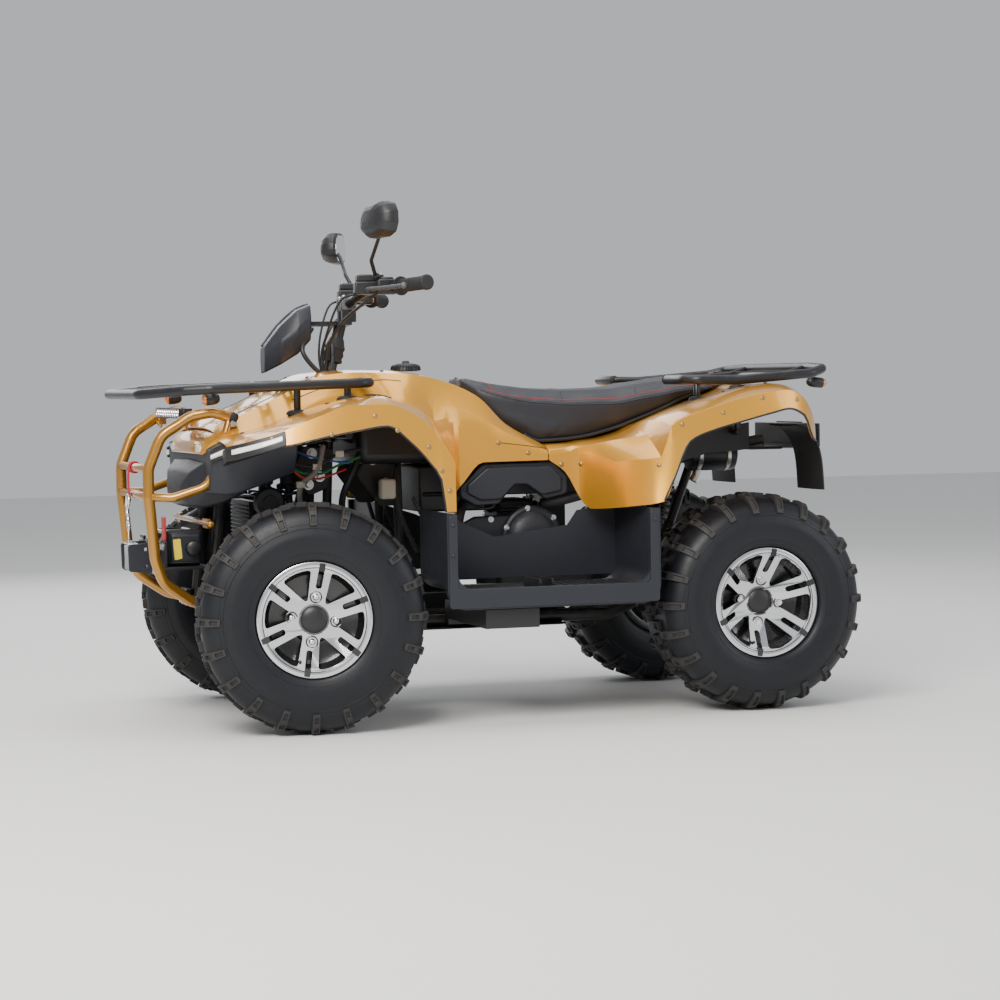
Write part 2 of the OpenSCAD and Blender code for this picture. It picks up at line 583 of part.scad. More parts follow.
module muffler() color("#17181a") framed() {
  side_plate(rail_y + rail_r, 196) tub_outline(-46, 96, up(612), up(700), 28);
  rod([62, 154, up(612)], [74, 154, up(585)], 14);
}

// ---- steering ----
stem_top = [1000, 0, 1010];
stem_dir = [-sin(stem_lean), 0, cos(stem_lean)];
stem_across = [cos(stem_lean), 0, sin(stem_lean)];
ball_out = 14;                 // the tie rods' ends are this far outboard of their axes
ball_pin_r = 5;
tie_eye_r = 12;
function stem_at(z) = [stem_top.x - (z - stem_top.z) * tan(stem_lean), 0, z];
// The stem's foot is as high as puts the tie rods' inner ends level with the outer ones
stem_foot_z = rod_z + steer_arm * sin(stem_lean);
stem_foot = [st(stem_top.x) - (stem_foot_z - up(stem_top.z)) * tan(stem_lean), 0, stem_foot_z];
// A vector turned about the stem
function about_stem(v, a) = v * cos(a) + cross(stem_dir, v) * sin(a) + stem_dir * (stem_dir * v)
  * (1 - cos(a));
function inner_ball(side) = stem_foot + about_stem([0, side * ball_out, 0] - steer_arm * stem_across,
  steer_rest);
function outer_ball(side) = [front_x, side * kingpin_y, rod_z]
  + [-steer_arm * cos(steer_rest) - side * ball_out * sin(steer_rest),
     -steer_arm * sin(steer_rest) + side * ball_out * cos(steer_rest), 0];
stem_r = 16;
stem_foot_r = 12;
stem_head_z = 1022;
module pitman() {
  placed([stem_across, [0, 1, 0], stem_dir], stem_foot) {
    block([-steer_arm - 12, -ball_out - 12, -18.5], [18, ball_out + 12, -9.5]);
    for (y = [-ball_out, ball_out]) translate([-steer_arm, y, -11])
      cylinder(h = 20, r = ball_pin_r, $fn = fine);
    translate([0, 0, -60]) cylinder(h = 66, r = stem_foot_r, $fn = fine);
  }
}
module turned() {
  translate([st(stem_top.x), 0, up(stem_top.z)]) rotate(a = steer_rest, v = stem_dir)
    translate([-st(stem_top.x), 0, -up(stem_top.z)]) children();
}
bar_r = bar_d / 2;
bar_half = bar_width / 2;
bar_points = [[982, 62, 1064], [950, 128, 1088], [884, 250, 1094], [830, bar_half - 2, 1095]];
function steer_point(p) = [st(p.x), p.y, up(p.z)];
module handlebar() color("#1b1b1d") framed() turned() {
  tube([for (p = concat([for (k = [len(bar_points) - 1 : -1 : 0]) mirror_y(bar_points[k])], bar_points))
    steer_point(p)], bar_r);
}
module steering_stem() color("#1b1b1d") framed() turned() {
  rod(stem_foot, steer_point(stem_at(stem_head_z - 7)), stem_r);
  pitman();
  // plate and risers that carry the handlebar
  block(steer_point([976, -58, 1008]), steer_point([1012, 58, stem_head_z]));
  difference() {
    both_sides() block(steer_point([964, 28, stem_head_z - 6]), steer_point([1000, 52, 1064 + bar_r + 6]));
    rod(steer_point(mirror_y(bar_points[0])), steer_point(bar_points[0]), bar_r);
  }
  // arms that carry the cowl
  for (y = [-30, 30]) block(steer_point([1010, y - 6, 1009]),
    steer_point([cowl_stations[3][0] - 0.4, y + 6, 1019]));
}
module grips() color("#141414") framed() turned() both_sides() difference() {
  a = steer_point(bar_points[2]);
  b = steer_point(bar_points[3]);
  rod(a + 14 * unit(b - a), b + 3 * unit(b - a), 17);
  rod(a, b, bar_r);
}
module controls() color("#121315") framed() turned() both_sides() {
  difference() {
    union() {
      block(steer_point([880, 196, 1074]), steer_point([935, 240, 1116]));
      block(steer_point([900, 138, 1078]), steer_point([985, 188, 1132]));
    }
    rod(steer_point(bar_points[1]), steer_point(bar_points[2]), bar_r);
  }
}
module levers() color("#202123") framed() turned() both_sides()
  tube([for (p = [[950, 189.6, 1090], [954, 214, 1090],
    [944, 250, 1089], [920, 300, 1088], [890, 372, 1088]]) steer_point(p)], 6);
cowl_stations = [[1205, 60, 885, 960], [1165, 96, 905, 1012], [1120, 104, 932, 1052],
  [1085, 92, 968, 1066]];
module cowl() color("#2e3033") framed() turned() lofted([for (s = cowl_stations) [for (p =
  [[-0.8, s[2]], [-1, (s[2] + s[3]) / 2], [-0.8, s[3]], [0.8, s[3]], [1, (s[2] + s[3]) / 2], [0.8, s[2]]])
  steer_point([s[0], s[1] * p.x, p.y])]]);
// Mirror housing: [distance along the bike, share of full size], and its outline across and up
mirror_yaw = 20;               // each glass looks in towards the rider
mirror_rings = [[936, 0.93], [941, 1], [962, 0.97], [978, 0.8], [986, 0.5]];
mirror_outline = [[-74, -8], [-70, -26], [-40, -44], [30, -44], [62, -34], [74, -12], [73, 16], [60, 36],
  [30, 44], [-36, 40], [-62, 26], [-73, 8]];
module mirrors() color("#141517") framed() turned() both_sides() {
  tube([for (p = [[933, 215, 1120], [950, 250, 1160], [945, 380, 1215], [944, 430, 1245]])
    steer_point(p)], 5);
  lofted([for (r = mirror_rings) [for (q = mirror_outline) let (along = r[0] - 950, out = r[1] * q.x)
    steer_point([950 + along * cos(mirror_yaw) - out * sin(mirror_yaw),
      435 + along * sin(mirror_yaw) + out * cos(mirror_yaw), 1246 + r[1] * q.y])]]);
}

spindle_r = 12;
module at_kingpin(side) {
  translate([front_x, side * kingpin_y, 0]) rotate([0, 0, steer_rest]) mirror([0, side < 0 ? 1 : 0, 0])
    children();
}
module knuckle() {
  translate([0, 0, lower_joint_z + 0.5]) cylinder(h = 2 * kingpin_half - 1, r = 15, $fn = fine);
  translate([0, 0, lower_joint_z - eye_h + 2]) cylinder(h = 2 * kingpin_half + 2 * eye_h - 4, r = pin_r,
    $fn = fine);
  translate([0, 0, front_z]) rotate([-90, 0, 0]) cylinder(h = kingpin_offset + 34, r = spindle_r,
    $fn = fine);
  translate([0, 0, front_z]) rotate([-90, 0, 0]) cylinder(h = kingpin_offset - 32, r = 22, $fn = fine);
  block([-steer_arm - 11, ball_out - 11, rod_z - 20], [-steer_arm + 11, ball_out + 11, rod_z - 12]);
  block([-steer_arm + 10, 0, rod_z - 20], [0, ball_out, rod_z - 12]);
  translate([-steer_arm, ball_out, rod_z - 13]) cylinder(h = 24, r = ball_pin_r, $fn = fine);
}
module knuckle_left() color("#37383b") framed() at_kingpin(1) knuckle();
module knuckle_right() color("#37383b") framed() at_kingpin(-1) knuckle();
module tie_rod(side) {
  a = inner_ball(side);
  b = outer_ball(side);
  d = unit(b - a);
  difference() {
    union() {
      rod(a + d * 8, b - d * 8, 7);
      placed(basis(stem_dir), a - 5.5 * stem_dir) cylinder(h = 11, r = tie_eye_r - 1, $fn = fine);
      translate(b - [0, 0, 6]) cylinder(h = 12, r = tie_eye_r, $fn = fine);
    }
    placed(basis(stem_dir), a - 12 * stem_dir) cylinder(h = 24, r = ball_pin_r + running, $fn = fine);
    translate(b - [0, 0, 12]) cylinder(h = 24, r = ball_pin_r + 1.5, $fn = fine);
  }
}
module tie_rod_left() color("#3a3b3e") framed() tie_rod(1);
module tie_rod_right() color("#3a3b3e") framed() tie_rod(-1);

// ---- wheels ----
bead_r = bead_d / 2;
flange_r = flange_d / 2;
rim_wall = 5;
front_rim_half = 80;
rear_rim_half = 104;
// Half of a tyre's outline above its beads, as fractions of its height and of its half-width
tyre_shape = [[0.14, 0.9], [0.3, 0.98], [0.5, 1], [0.68, 0.97], [0.82, 0.9], [0.93, 0.76],
  [1, 0.55]];
module tyre(d, w, rim_half) {
  high = d / 2 - bead_r;
  half = concat([[bead_r, rim_half - 7], [flange_r + 1, rim_half - 5]],
    [for (p = tyre_shape) [bead_r + high * p.x, w / 2 * p.y]]);
  rotate([-90, 0, 0]) rotate_extrude($fn = 96)
    polygon(concat(half, [for (k = [len(half) - 1 : -1 : 0]) [half[k].x, -half[k].y]]));
}
module window(k) {
  rotate([0, 0, 60 * k]) linear_extrude(40)
    polygon([[62, -9], [66, 9], [110, 25], [112, 0], [108, -26]]);
}
// A cylinder along +Y from y0 to y1
module turned_y(y0, y1, r) { translate([0, y0, 0]) rotate([-90, 0, 0])
  cylinder(h = y1 - y0, r = r, $fn = 96); }
// A rim with its spoked face from face_y inward, its hub back to hub_y and a bore through the hub
module rim(rim_half, face_y, hub_y, bore_r) {
  difference() {
    union() {
      difference() {
        union() {
          turned_y(-rim_half, rim_half, bead_r);
          for (s = [-1, 1]) turned_y(s > 0 ? rim_half - 4 : -rim_half, s > 0 ? rim_half : 4 - rim_half,
            flange_r);
        }
        turned_y(-rim_half - 1, rim_half + 1, bead_r - rim_wall);
      }
      difference() {
        turned_y(face_y - 9, face_y, bead_r - rim_wall + 1);
        translate([0, face_y + 10, 0]) rotate([90, 0, 0]) for (k = [0 : 5]) window(k);
      }
      turned_y(hub_y, face_y + 12, 34);
      turned_y(face_y + 12, face_y + 20, 31);
      for (k = [0 : 3]) rotate([0, 45 + 90 * k, 0]) translate([nut_circle_d / 2, 0, 0])
        turned_y(face_y - 1, face_y + 16, stud_d / 2 + 4);
    }
    if (bore_r > 0) turned_y(hub_y - 1, face_y + 2, bore_r);
  }
}
module disc(y0, r) { turned_y(y0, y0 + 4, r); }
front_face_y = 58;
module front_wheel() { translate([0, kingpin_offset, front_z]) children(); }
module tyre_front_left() color("#1d1c1b") framed() at_kingpin(1) front_wheel()
  tyre(front_tyre_d, front_tyre_w, front_rim_half);
module tyre_front_right() color("#1d1c1b") framed() at_kingpin(-1) front_wheel()
  tyre(front_tyre_d, front_tyre_w, front_rim_half);
module front_rim() {
  front_wheel() {
    rim(front_rim_half, front_face_y, -26, spindle_r + running);
    difference() {
      disc(-22, 82);
      turned_y(-30, -10, 33);
    }
  }
}
module rim_front_left() color("#c3c5c8") framed() at_kingpin(1) front_rim();
module rim_front_right() color("#c3c5c8") framed() at_kingpin(-1) front_rim();

rear_y = rear_track / 2;
rear_face_y = 52;
module rear_wheel() { both_sides() translate([0, rear_y, rear_z]) children(); }
module tyres_rear() color("#1d1c1b") framed() rear_wheel() tyre(rear_tyre_d, rear_tyre_w, rear_rim_half);
module rims_rear() color("#c3c5c8") framed() rear_wheel() rim(rear_rim_half, rear_face_y, -20, axle_d / 2);
sprocket_y = carrier_half + 16;
module rear_axle() color("#8d8f92") framed() translate([0, 0, rear_z]) {
  turned_y(-rear_y - rear_face_y, rear_y + rear_face_y, axle_d / 2);
  turned_y(-sprocket_y - 4, -sprocket_y + 4, 92);
  turned_y(sprocket_y - 2, sprocket_y + 2, 90);
}

frame_rails();
frame_ties();
engine();
engine_cover();
footwell_left();
footwell_right();
foot_pegs();
front_body();
nose_panel();
headlights();
rear_fender();
tail_tray();
side_covers();
seat();
fuel_cap();
rack_front();
rack_rear();
bumper();
light_bar();
winch();
fairlead();
winch_hook();
lamps();
front_arms();
shocks();
swing_arm();
muffler();
handlebar();
steering_stem();
grips();
controls();
levers();
cowl();
mirrors();
knuckle_left();
knuckle_right();
tie_rod_left();
tie_rod_right();
tyre_front_left();
tyre_front_right();
rim_front_left();
rim_front_right();
rear_axle();
tyres_rear();
rims_rear();
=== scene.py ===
import bmesh, bpy, math
from mathutils import Matrix, Vector
from mathutils.bvhtree import BVHTree


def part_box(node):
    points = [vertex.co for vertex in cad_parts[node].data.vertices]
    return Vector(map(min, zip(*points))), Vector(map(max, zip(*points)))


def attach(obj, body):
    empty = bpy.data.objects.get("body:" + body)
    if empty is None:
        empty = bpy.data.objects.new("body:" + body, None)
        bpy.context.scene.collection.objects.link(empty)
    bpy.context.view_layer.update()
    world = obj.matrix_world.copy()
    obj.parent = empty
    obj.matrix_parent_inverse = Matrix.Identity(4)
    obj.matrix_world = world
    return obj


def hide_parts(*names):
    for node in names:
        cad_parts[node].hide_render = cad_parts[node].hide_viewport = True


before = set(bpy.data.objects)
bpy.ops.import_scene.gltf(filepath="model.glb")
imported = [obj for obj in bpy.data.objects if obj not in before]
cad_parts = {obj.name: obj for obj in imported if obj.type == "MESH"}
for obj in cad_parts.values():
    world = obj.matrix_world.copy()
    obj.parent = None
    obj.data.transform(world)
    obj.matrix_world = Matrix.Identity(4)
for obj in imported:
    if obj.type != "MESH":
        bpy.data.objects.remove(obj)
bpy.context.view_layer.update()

# Lengths are in millimetres from the rear axle, as in the part's source, and P() takes them to the frame.
MID = 646.75  # from the rear axle forward to the frame's origin
KINGPIN = (1182, 349)
FRONT_HUB = (60, 285)  # outward from the kingpin, and up
REAR_HUB = (365, 280)  # outward from the middle, and up
REST = math.radians(-7)  # the angle the steering rests at
LEAN = math.radians(14)
STEM_DIR = Vector((-math.sin(LEAN), 0, math.cos(LEAN)))
STEM_TOP = Vector((1000, 0, 1010))
ROOT = "chassis"
DOWN = (0, 0, -1)


def V(*p):
    return Vector(p)


def P(p):
    """A point of the bike in the frame, in metres."""
    return Vector(((p[0] - MID) / 1000, p[1] / 1000, p[2] / 1000))


def same(p):
    return Vector(p)


def flip(p):
    return Vector((p[0], -p[1], p[2]))


SIDES = ((1, "left", same), (-1, "right", flip))


def left_only(side, node):
    """The node that a left piece stands for; its right twin stands for nothing more."""
    return node if side > 0 else None


def turned(p):
    """A point of the handlebar group, turned by the angle the steering rests at."""
    return STEM_TOP + Matrix.Rotation(REST, 3, STEM_DIR) @ (Vector(p) - STEM_TOP)


def hand(side):
    """Takes a point of the left half of the handlebar group to its side."""
    return turned if side > 0 else lambda p: turned(flip(p))


def front_hub(side):
    """Takes a point given about a front hub, with y outward, to the bike."""
    turn = Matrix.Rotation(REST, 3, "Z")
    pin = V(KINGPIN[0], side * KINGPIN[1], 0)
    return lambda p: pin + turn @ V(p[0], side * (p[1] + FRONT_HUB[0]), p[2] + FRONT_HUB[1])


def rear_hub(side):
    return lambda p: V(p[0], side * (REAR_HUB[0] + p[1]), REAR_HUB[1] + p[2])


# ---- materials ----
def material(name, color, rough=0.5, metal=0.0, coat=0.0, coat_rough=0.08, vary=0.08, vary_size=9.0,
             grain=0.0, grain_size=900.0, dust=0.0, dust_color=(0.30, 0.25, 0.19), rough_vary=0.08,
             flake=0.0, pebbled=False, brushed=None, spec=0.5, emission=None):
    """A finish with broad colour variation, and flake, dust that settles on top, and grain where given."""
    m = bpy.data.materials.new(name)
    m.use_nodes = True
    tree = m.node_tree
    shader = tree.nodes["Principled BSDF"]

    def feed(socket, value):
        if isinstance(value, bpy.types.NodeSocket):
            tree.links.new(value, socket)
        else:
            socket.default_value = value

    def node(kind, **inputs):
        n = tree.nodes.new("ShaderNode" + kind)
        for key, value in inputs.items():
            feed(n.inputs[key.replace("_", " ")], value)
        return n

    def mixed(mode, factor, a, b):
        n = tree.nodes.new("ShaderNodeMix")
        n.data_type, n.blend_type = "RGBA", mode
        for key, value in (("Factor", factor), ("A", a), ("B", b)):
            feed(n.inputs[key], value)
        return n.outputs["Result"]

    for key, value in (("Metallic", metal), ("Specular IOR Level", spec), ("Coat Weight", coat),
                       ("Coat Roughness", coat_rough)):
        shader.inputs[key].default_value = value
    if emission:
        shader.inputs["Emission Color"].default_value = (*emission[0], 1)
        shader.inputs["Emission Strength"].default_value = emission[1]
    here = node("TexCoord").outputs["Object"]
    broad = node("TexNoise", Vector=here, Scale=vary_size, Detail=6)
    base = Vector(color)
    out = mixed("MIX", broad.outputs["Fac"], (*(base * (1 - vary)), 1), (*(base * (1 + vary)), 1))
    if flake:
        out = mixed("MULTIPLY", flake, out, node("TexVoronoi", Vector=here, Scale=1400).outputs["Color"])
    if dust:
        facing = node("SeparateXYZ", Vector=node("NewGeometry").outputs["Normal"])
        upward = node("MapRange", Value=facing.outputs["Z"])
        patches = node("TexNoise", Vector=here, Scale=23, Detail=9, Roughness=0.66)
        amount = node("MapRange", Value=patches.outputs["Fac"], From_Min=0.42, From_Max=0.72, To_Max=dust)
        both = node("Math")
        both.operation = "MULTIPLY"
        feed(both.inputs[0], upward.outputs["Result"])
        feed(both.inputs[1], amount.outputs["Result"])
        out = mixed("MIX", both.outputs["Value"], out, (*dust_color, 1))
    feed(shader.inputs["Base Color"], out)
    place = node("Mapping", Vector=here, Scale=brushed).outputs["Vector"] if brushed else here
    worn = node("TexNoise", Vector=place, Scale=vary_size * 4, Detail=5, Roughness=0.6)
    feed(shader.inputs["Roughness"],
         node("MapRange", Value=worn.outputs["Fac"], To_Min=max(0.03, rough - rough_vary),
              To_Max=min(1.0, rough + rough_vary)).outputs["Result"])
    if grain:
        if pebbled:
            fine = node("TexVoronoi", Vector=here, Scale=grain_size)
            fine.feature = "SMOOTH_F1"
            height = fine.outputs["Distance"]
        else:
            height = node("TexNoise", Vector=here, Scale=grain_size, Detail=3).outputs["Fac"]
        feed(shader.inputs["Normal"],
             node("Bump", Strength=grain, Distance=0.0004, Height=height).outputs["Normal"])
    return m


GOLD = material("gold", (0.80, 0.37, 0.028), rough=0.32, metal=0.62, coat=0.7, coat_rough=0.06, vary=0.04,
                flake=0.14, grain=0.10, grain_size=1500, dust=0.03, rough_vary=0.03)
GOLD_TUBE = material("gold_tube", (0.50, 0.235, 0.030), rough=0.30, metal=0.70, coat=0.6, flake=0.3,
                     grain=0.12, grain_size=1300, dust=0.08)
CHARCOAL = material("charcoal", (0.017, 0.019, 0.026), rough=0.45, vary=0.14, grain=0.35,
                    grain_size=1500, dust=0.10, spec=0.4)
BLACK = material("black_plastic", (0.012, 0.012, 0.014), rough=0.42, vary=0.2, grain=0.25,
                 grain_size=1200, dust=0.06)
RUBBER = material("grip_rubber", (0.013, 0.013, 0.014), rough=0.72, vary=0.2, grain=0.5)
POWDER = material("powder_coat", (0.014, 0.014, 0.017), rough=0.36, metal=0.2, vary=0.15, grain=0.3,
                  grain_size=800, dust=0.10)
FRAME = material("frame_paint", (0.010, 0.010, 0.011), rough=0.45, metal=0.1, vary=0.3, grain=0.3,
                 grain_size=600, dust=0.22)
VINYL = material("seat_vinyl", (0.014, 0.016, 0.023), rough=0.48, vary=0.10, grain=0.9, grain_size=620,
                 pebbled=True, dust=0.05, rough_vary=0.06)
THREAD = material("stitch_thread", (0.55, 0.03, 0.03), rough=0.8, vary=0.2, grain=0.6, grain_size=2500)
TYRE = material("tyre_rubber", (0.006, 0.007, 0.010), rough=0.46, vary=0.25, grain=0.45, grain_size=420,
                dust=0.05, rough_vary=0.12, vary_size=14, spec=0.35, dust_color=(0.14, 0.12, 0.10))
LUG = material("tread_rubber", (0.020, 0.019, 0.019), rough=0.66, vary=0.3, grain=0.6, grain_size=300,
               dust=0.35, dust_color=(0.10, 0.085, 0.065), rough_vary=0.10, vary_size=25)
ALLOY = material("machined_alloy", (0.66, 0.67, 0.69), rough=0.24, metal=1.0, coat=0.4, vary=0.05,
                 grain=0.08, grain_size=2000, brushed=(40, 2, 40))
RIM_BLACK = material("rim_black", (0.008, 0.008, 0.009), rough=0.28, coat=0.5, vary=0.2, grain=0.1,
                     dust=0.06)
STEEL = material("zinc_steel", (0.60, 0.60, 0.58), rough=0.32, metal=1.0, vary=0.12, grain=0.2)
CHROME = material("chrome_plate", (0.80, 0.80, 0.82), rough=0.10, metal=1.0, vary=0.04, rough_vary=0.05)
CAST = material("cast_alloy", (0.13, 0.13, 0.135), rough=0.55, metal=0.75, vary=0.25, grain=0.9,
                grain_size=350, dust=0.25)
ENGINE = material("engine_black", (0.030, 0.030, 0.032), metal=0.5, vary=0.25, grain=0.7,
                  grain_size=400, dust=0.3)
BRONZE = material("bronze_cap", (0.36, 0.24, 0.10), rough=0.42, metal=0.9, vary=0.2, grain=0.3,
                  grain_size=500)
RED = material("red_paint", (0.52, 0.012, 0.012), rough=0.35, vary=0.12, grain=0.15)
WEB = material("red_webbing", (0.42, 0.010, 0.020), rough=0.85, vary=0.2, grain=0.9, grain_size=1100,
               pebbled=True)
YELLOW = material("yellow_label", (0.75, 0.58, 0.02))
LENS = material("lamp_lens", (0.84, 0.84, 0.76), rough=0.16, coat=1.0, vary=0.05, grain=0.3,
                grain_size=260, emission=((1.0, 0.98, 0.86), 0.25))
ORANGE = material("orange_lens", (0.75, 0.20, 0.01), rough=0.2, coat=1.0, vary=0.05)
RED_LENS = material("red_lens", (0.45, 0.01, 0.01), rough=0.18, coat=1.0, vary=0.05)
MIRROR = material("mirror_glass", (0.85, 0.87, 0.88), rough=0.04, metal=1.0, vary=0.02, rough_vary=0.02)
CREAM = material("cream_plastic", (0.55, 0.52, 0.44), vary=0.1)
GREEN = material("green_wire", (0.02, 0.20, 0.06))
BLUE = material("blue_wire", (0.02, 0.10, 0.35))
GREY_HOSE = material("grey_hose", (0.22, 0.21, 0.19), rough=0.55, vary=0.1)


# ---- geometry: a mesh is a pair (verts, faces) in millimetres ----
def merge(*parts):
    verts, faces = [], []
    for v, f in parts:
        faces += [tuple(i + len(verts) for i in q) for q in f]
        verts += list(v)
    return verts, faces


def add(name, mesh, mat, body=ROOT, node=None, go=same, smooth=40, bevel=0.0, seg=2):
    """A new piece from a mesh or a list of them; go moves each point, and node is what it replaces."""
    verts, faces = merge(*mesh) if isinstance(mesh, list) else mesh
    me = bpy.data.meshes.new(name)
    me.from_pydata([P(go(v)) for v in verts], [], [tuple(f) for f in faces])
    bm = bmesh.new()
    bm.from_mesh(me)
    bmesh.ops.recalc_face_normals(bm, faces=bm.faces)
    bm.to_mesh(me)
    bm.free()
    o = bpy.data.objects.new(name, me)
    bpy.context.scene.collection.objects.link(o)
    me.materials.append(mat)
    if bevel:
        b = o.modifiers.new("bevel", "BEVEL")
        b.width = bevel / 1000
        b.segments = seg
        b.limit_method = "ANGLE"
        b.angle_limit = math.radians(28)
    if smooth:
        me.shade_smooth()
        me.set_sharp_from_angle(angle=math.radians(smooth))
    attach(o, body)
    if node:
        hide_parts(node)
    return o


def around(n, start=0.0):
    """The cosine and sine of n angles round a circle."""
    return [(math.cos(start + 2 * math.pi * k / n), math.sin(start + 2 * math.pi * k / n)) for k in range(n)]


def loft(rings, wrap=False):
    """A skin over rings with the same number of points, closed at its ends or wrapped round."""
    n, m = len(rings[0]), len(rings)
    verts = [p for r in rings for p in r]
    faces = []
    for i in range(m if wrap else m - 1):
        a, b = i * n, ((i + 1) % m) * n
        for j in range(n):
            k = (j + 1) % n
            faces.append((a + j, b + j, b + k, a + k))
    if not wrap:
        faces.append(tuple(range(n)))
        faces.append(tuple((m - 1) * n + j for j in range(n - 1, -1, -1)))
    return verts, faces


def fillet(points, r, n=5, closed=False):
    """The points with each corner rounded."""
    pts = [Vector(p) for p in points]
    out = []
    for i, p in enumerate(pts):
        if not closed and i in (0, len(pts) - 1):
            out.append(p)
            continue
        u, v = pts[i - 1] - p, pts[(i + 1) % len(pts)] - p
        longest = 0.46 * min(u.length, v.length)
        u.normalize()
        v.normalize()
        angle = u.angle(v)
        if angle > math.radians(176):
            out.append(p)
            continue
        t = min(r / max(math.tan(angle / 2), 1e-3), longest)
        for k in range(n + 1):
            s = k / n
            out.append((1 - s) ** 2 * (p + u * t) + 2 * s * (1 - s) * p + s * s * (p + v * t))
    return out


def smooth_line(points, n=4):
    """A curve through points (Catmull-Rom)."""
    pts = [Vector(p) for p in points]
    out = []
    for i in range(len(pts) - 1):
        a, b, c, d = pts[max(i - 1, 0)], pts[i], pts[i + 1], pts[min(i + 2, len(pts) - 1)]
        for k in range(n):
            t = k / n
            out.append(0.5 * (2 * b + (c - a) * t + (2 * a - 5 * b + 4 * c - d) * t * t
                              + (3 * b - a - 3 * c + d) * t ** 3))
    out.append(pts[-1])
    return out


def monotone(xs, ys, at):
    """Values at new places of a smooth curve through (xs, ys) that never overshoots."""
    n = len(xs)
    d = [(ys[i + 1] - ys[i]) / (xs[i + 1] - xs[i]) for i in range(n - 1)]
    inner = [0 if a * b <= 0 else 2 * a * b / (a + b) for a, b in zip(d, d[1:])]
    m = [d[0]] + inner + [d[-1]]
    out = []
    for x in at:
        i = max(0, min(n - 2, sum(1 for q in xs[1:-1] if q <= x)))
        h = xs[i + 1] - xs[i]
        t = (x - xs[i]) / h
        out.append((1 + 2 * t) * (1 - t) ** 2 * ys[i] + t * (1 - t) ** 2 * h * m[i]
                   + t * t * (3 - 2 * t) * ys[i + 1] + t * t * (t - 1) * h * m[i + 1])
    return out


def sweep(points, r, sides=14, closed=False, dome=0.35, flat=1.0):
    """A tube along points; r is a radius or one for each point, flat stretches it sideways."""
    pts = [Vector(p) for p in points]
    m = len(pts)
    rad = r if isinstance(r, (list, tuple)) else [r] * m
    tan = []
    for i in range(m):
        a = pts[i - 1] if (i > 0 or closed) else pts[i]
        b = pts[(i + 1) % m] if (i < m - 1 or closed) else pts[i]
        tan.append((b - a).normalized())
    up = V(0, 0, 1) if abs(tan[0].z) < 0.9 else V(1, 0, 0)
    u = (up - tan[0] * up.dot(tan[0])).normalized()
    rings = []
    for i in range(m):
        if i:
            u = tan[i - 1].rotation_difference(tan[i]) @ u
            u = (u - tan[i] * u.dot(tan[i])).normalized()
        v = tan[i].cross(u)
        rings.append([pts[i] + rad[i] * (c * u + flat * s * v) for c, s in around(sides)])
    if not closed and dome:
        for end, sign in ((0, -1), (-1, 1)):
            c, d, h = pts[end], tan[end] * sign, rad[end] * dome
            cap = [[c + (p - c) * s + d * h * out for p in rings[end]]
                   for s, out in ((0.82, 0.6), (0.45, 0.95))]
            rings = rings + cap if end else cap[::-1] + rings
    return loft(rings, wrap=closed)


def box(low, high):
    (x0, y0, z0), (x1, y1, z1) = low, high
    return loft([[(x0, y0, z), (x1, y0, z), (x1, y1, z), (x0, y1, z)] for z in (z0, z1)])


def moved(mesh, go):
    return [go(Vector(p)) for p in mesh[0]], mesh[1]


def aimed(mesh, at, axis, was=(0, 0, 1)):
    """A mesh made along one axis, turned to another and moved there."""
    q = Vector(was).rotation_difference(Vector(axis).normalized())
    return moved(mesh, lambda p: q @ p + Vector(at))


def lathe(profile, n=64, axis="y", centre=(0, 0, 0), closed=False):
    """Turns (radius, along) pairs about an axis."""
    m = len(profile)
    verts, faces = [], []
    for i, (c, s) in enumerate(around(n)):
        for r, h in profile:
            p = {"y": (r * c, h, r * s), "z": (r * c, r * s, h), "x": (h, r * c, r * s)}[axis]
            verts.append(Vector(p) + Vector(centre))
        a, b = i * m, ((i + 1) % n) * m
        for j in range(m if closed else m - 1):
            k = (j + 1) % m
            faces.append((a + j, a + k, b + k, b + j))
    return verts, faces


def ball(r, at):
    angles = [math.pi * (k + 0.05) / 12.1 for k in range(13)]
    return lathe([(r * math.sin(t), -r * math.cos(t)) for t in angles], 16, "z", at)


def plate(outlines, y0, y1):
    """A flat plate in the X-Z plane from y0 to y1: the first outline is its rim, the rest are holes."""
    curve = bpy.data.curves.new("outline", "CURVE")
    curve.dimensions = "2D"
    curve.fill_mode = "BOTH"
    curve.extrude = abs(y1 - y0) / 2
    for pts in outlines:
        s = curve.splines.new("POLY")
        s.points.add(len(pts) - 1)
        for q, p in zip(s.points, pts):
            q.co = (p[0], p[1], 0, 1)
        s.use_cyclic_u = True
    o = bpy.data.objects.new("outline", curve)
    bpy.context.scene.collection.objects.link(o)
    done = o.evaluated_get(bpy.context.evaluated_depsgraph_get())
    bm = bmesh.new()
    bm.from_mesh(bpy.data.meshes.new_from_object(done))
    bmesh.ops.remove_doubles(bm, verts=bm.verts, dist=0.01)
    bmesh.ops.dissolve_limit(bm, angle_limit=0.002, verts=bm.verts, edges=bm.edges)
    bm.verts.index_update()
    verts = [V(v.co.x, (y0 + y1) / 2 + v.co.z, v.co.y) for v in bm.verts]
    faces = [tuple(v.index for v in f.verts) for f in bm.faces]
    bm.free()
    bpy.data.objects.remove(o)
    bpy.data.curves.remove(curve)
    return verts, faces


def facing_x(mesh, x):
    """A plate that was drawn in X-Z, set to face along X with its drawing in Y-Z."""
    return moved(mesh, lambda p: V(x + p.y, p.x, p.z))


def facing_z(mesh, z):
    """A plate that was drawn in X-Z, laid flat with its drawing in X-Y."""
    return moved(mesh, lambda p: V(p.x, p.z, z + p.y))


def circle(x, z, r, n=48):
    return [(x + r * c, z + r * s) for c, s in around(n)]


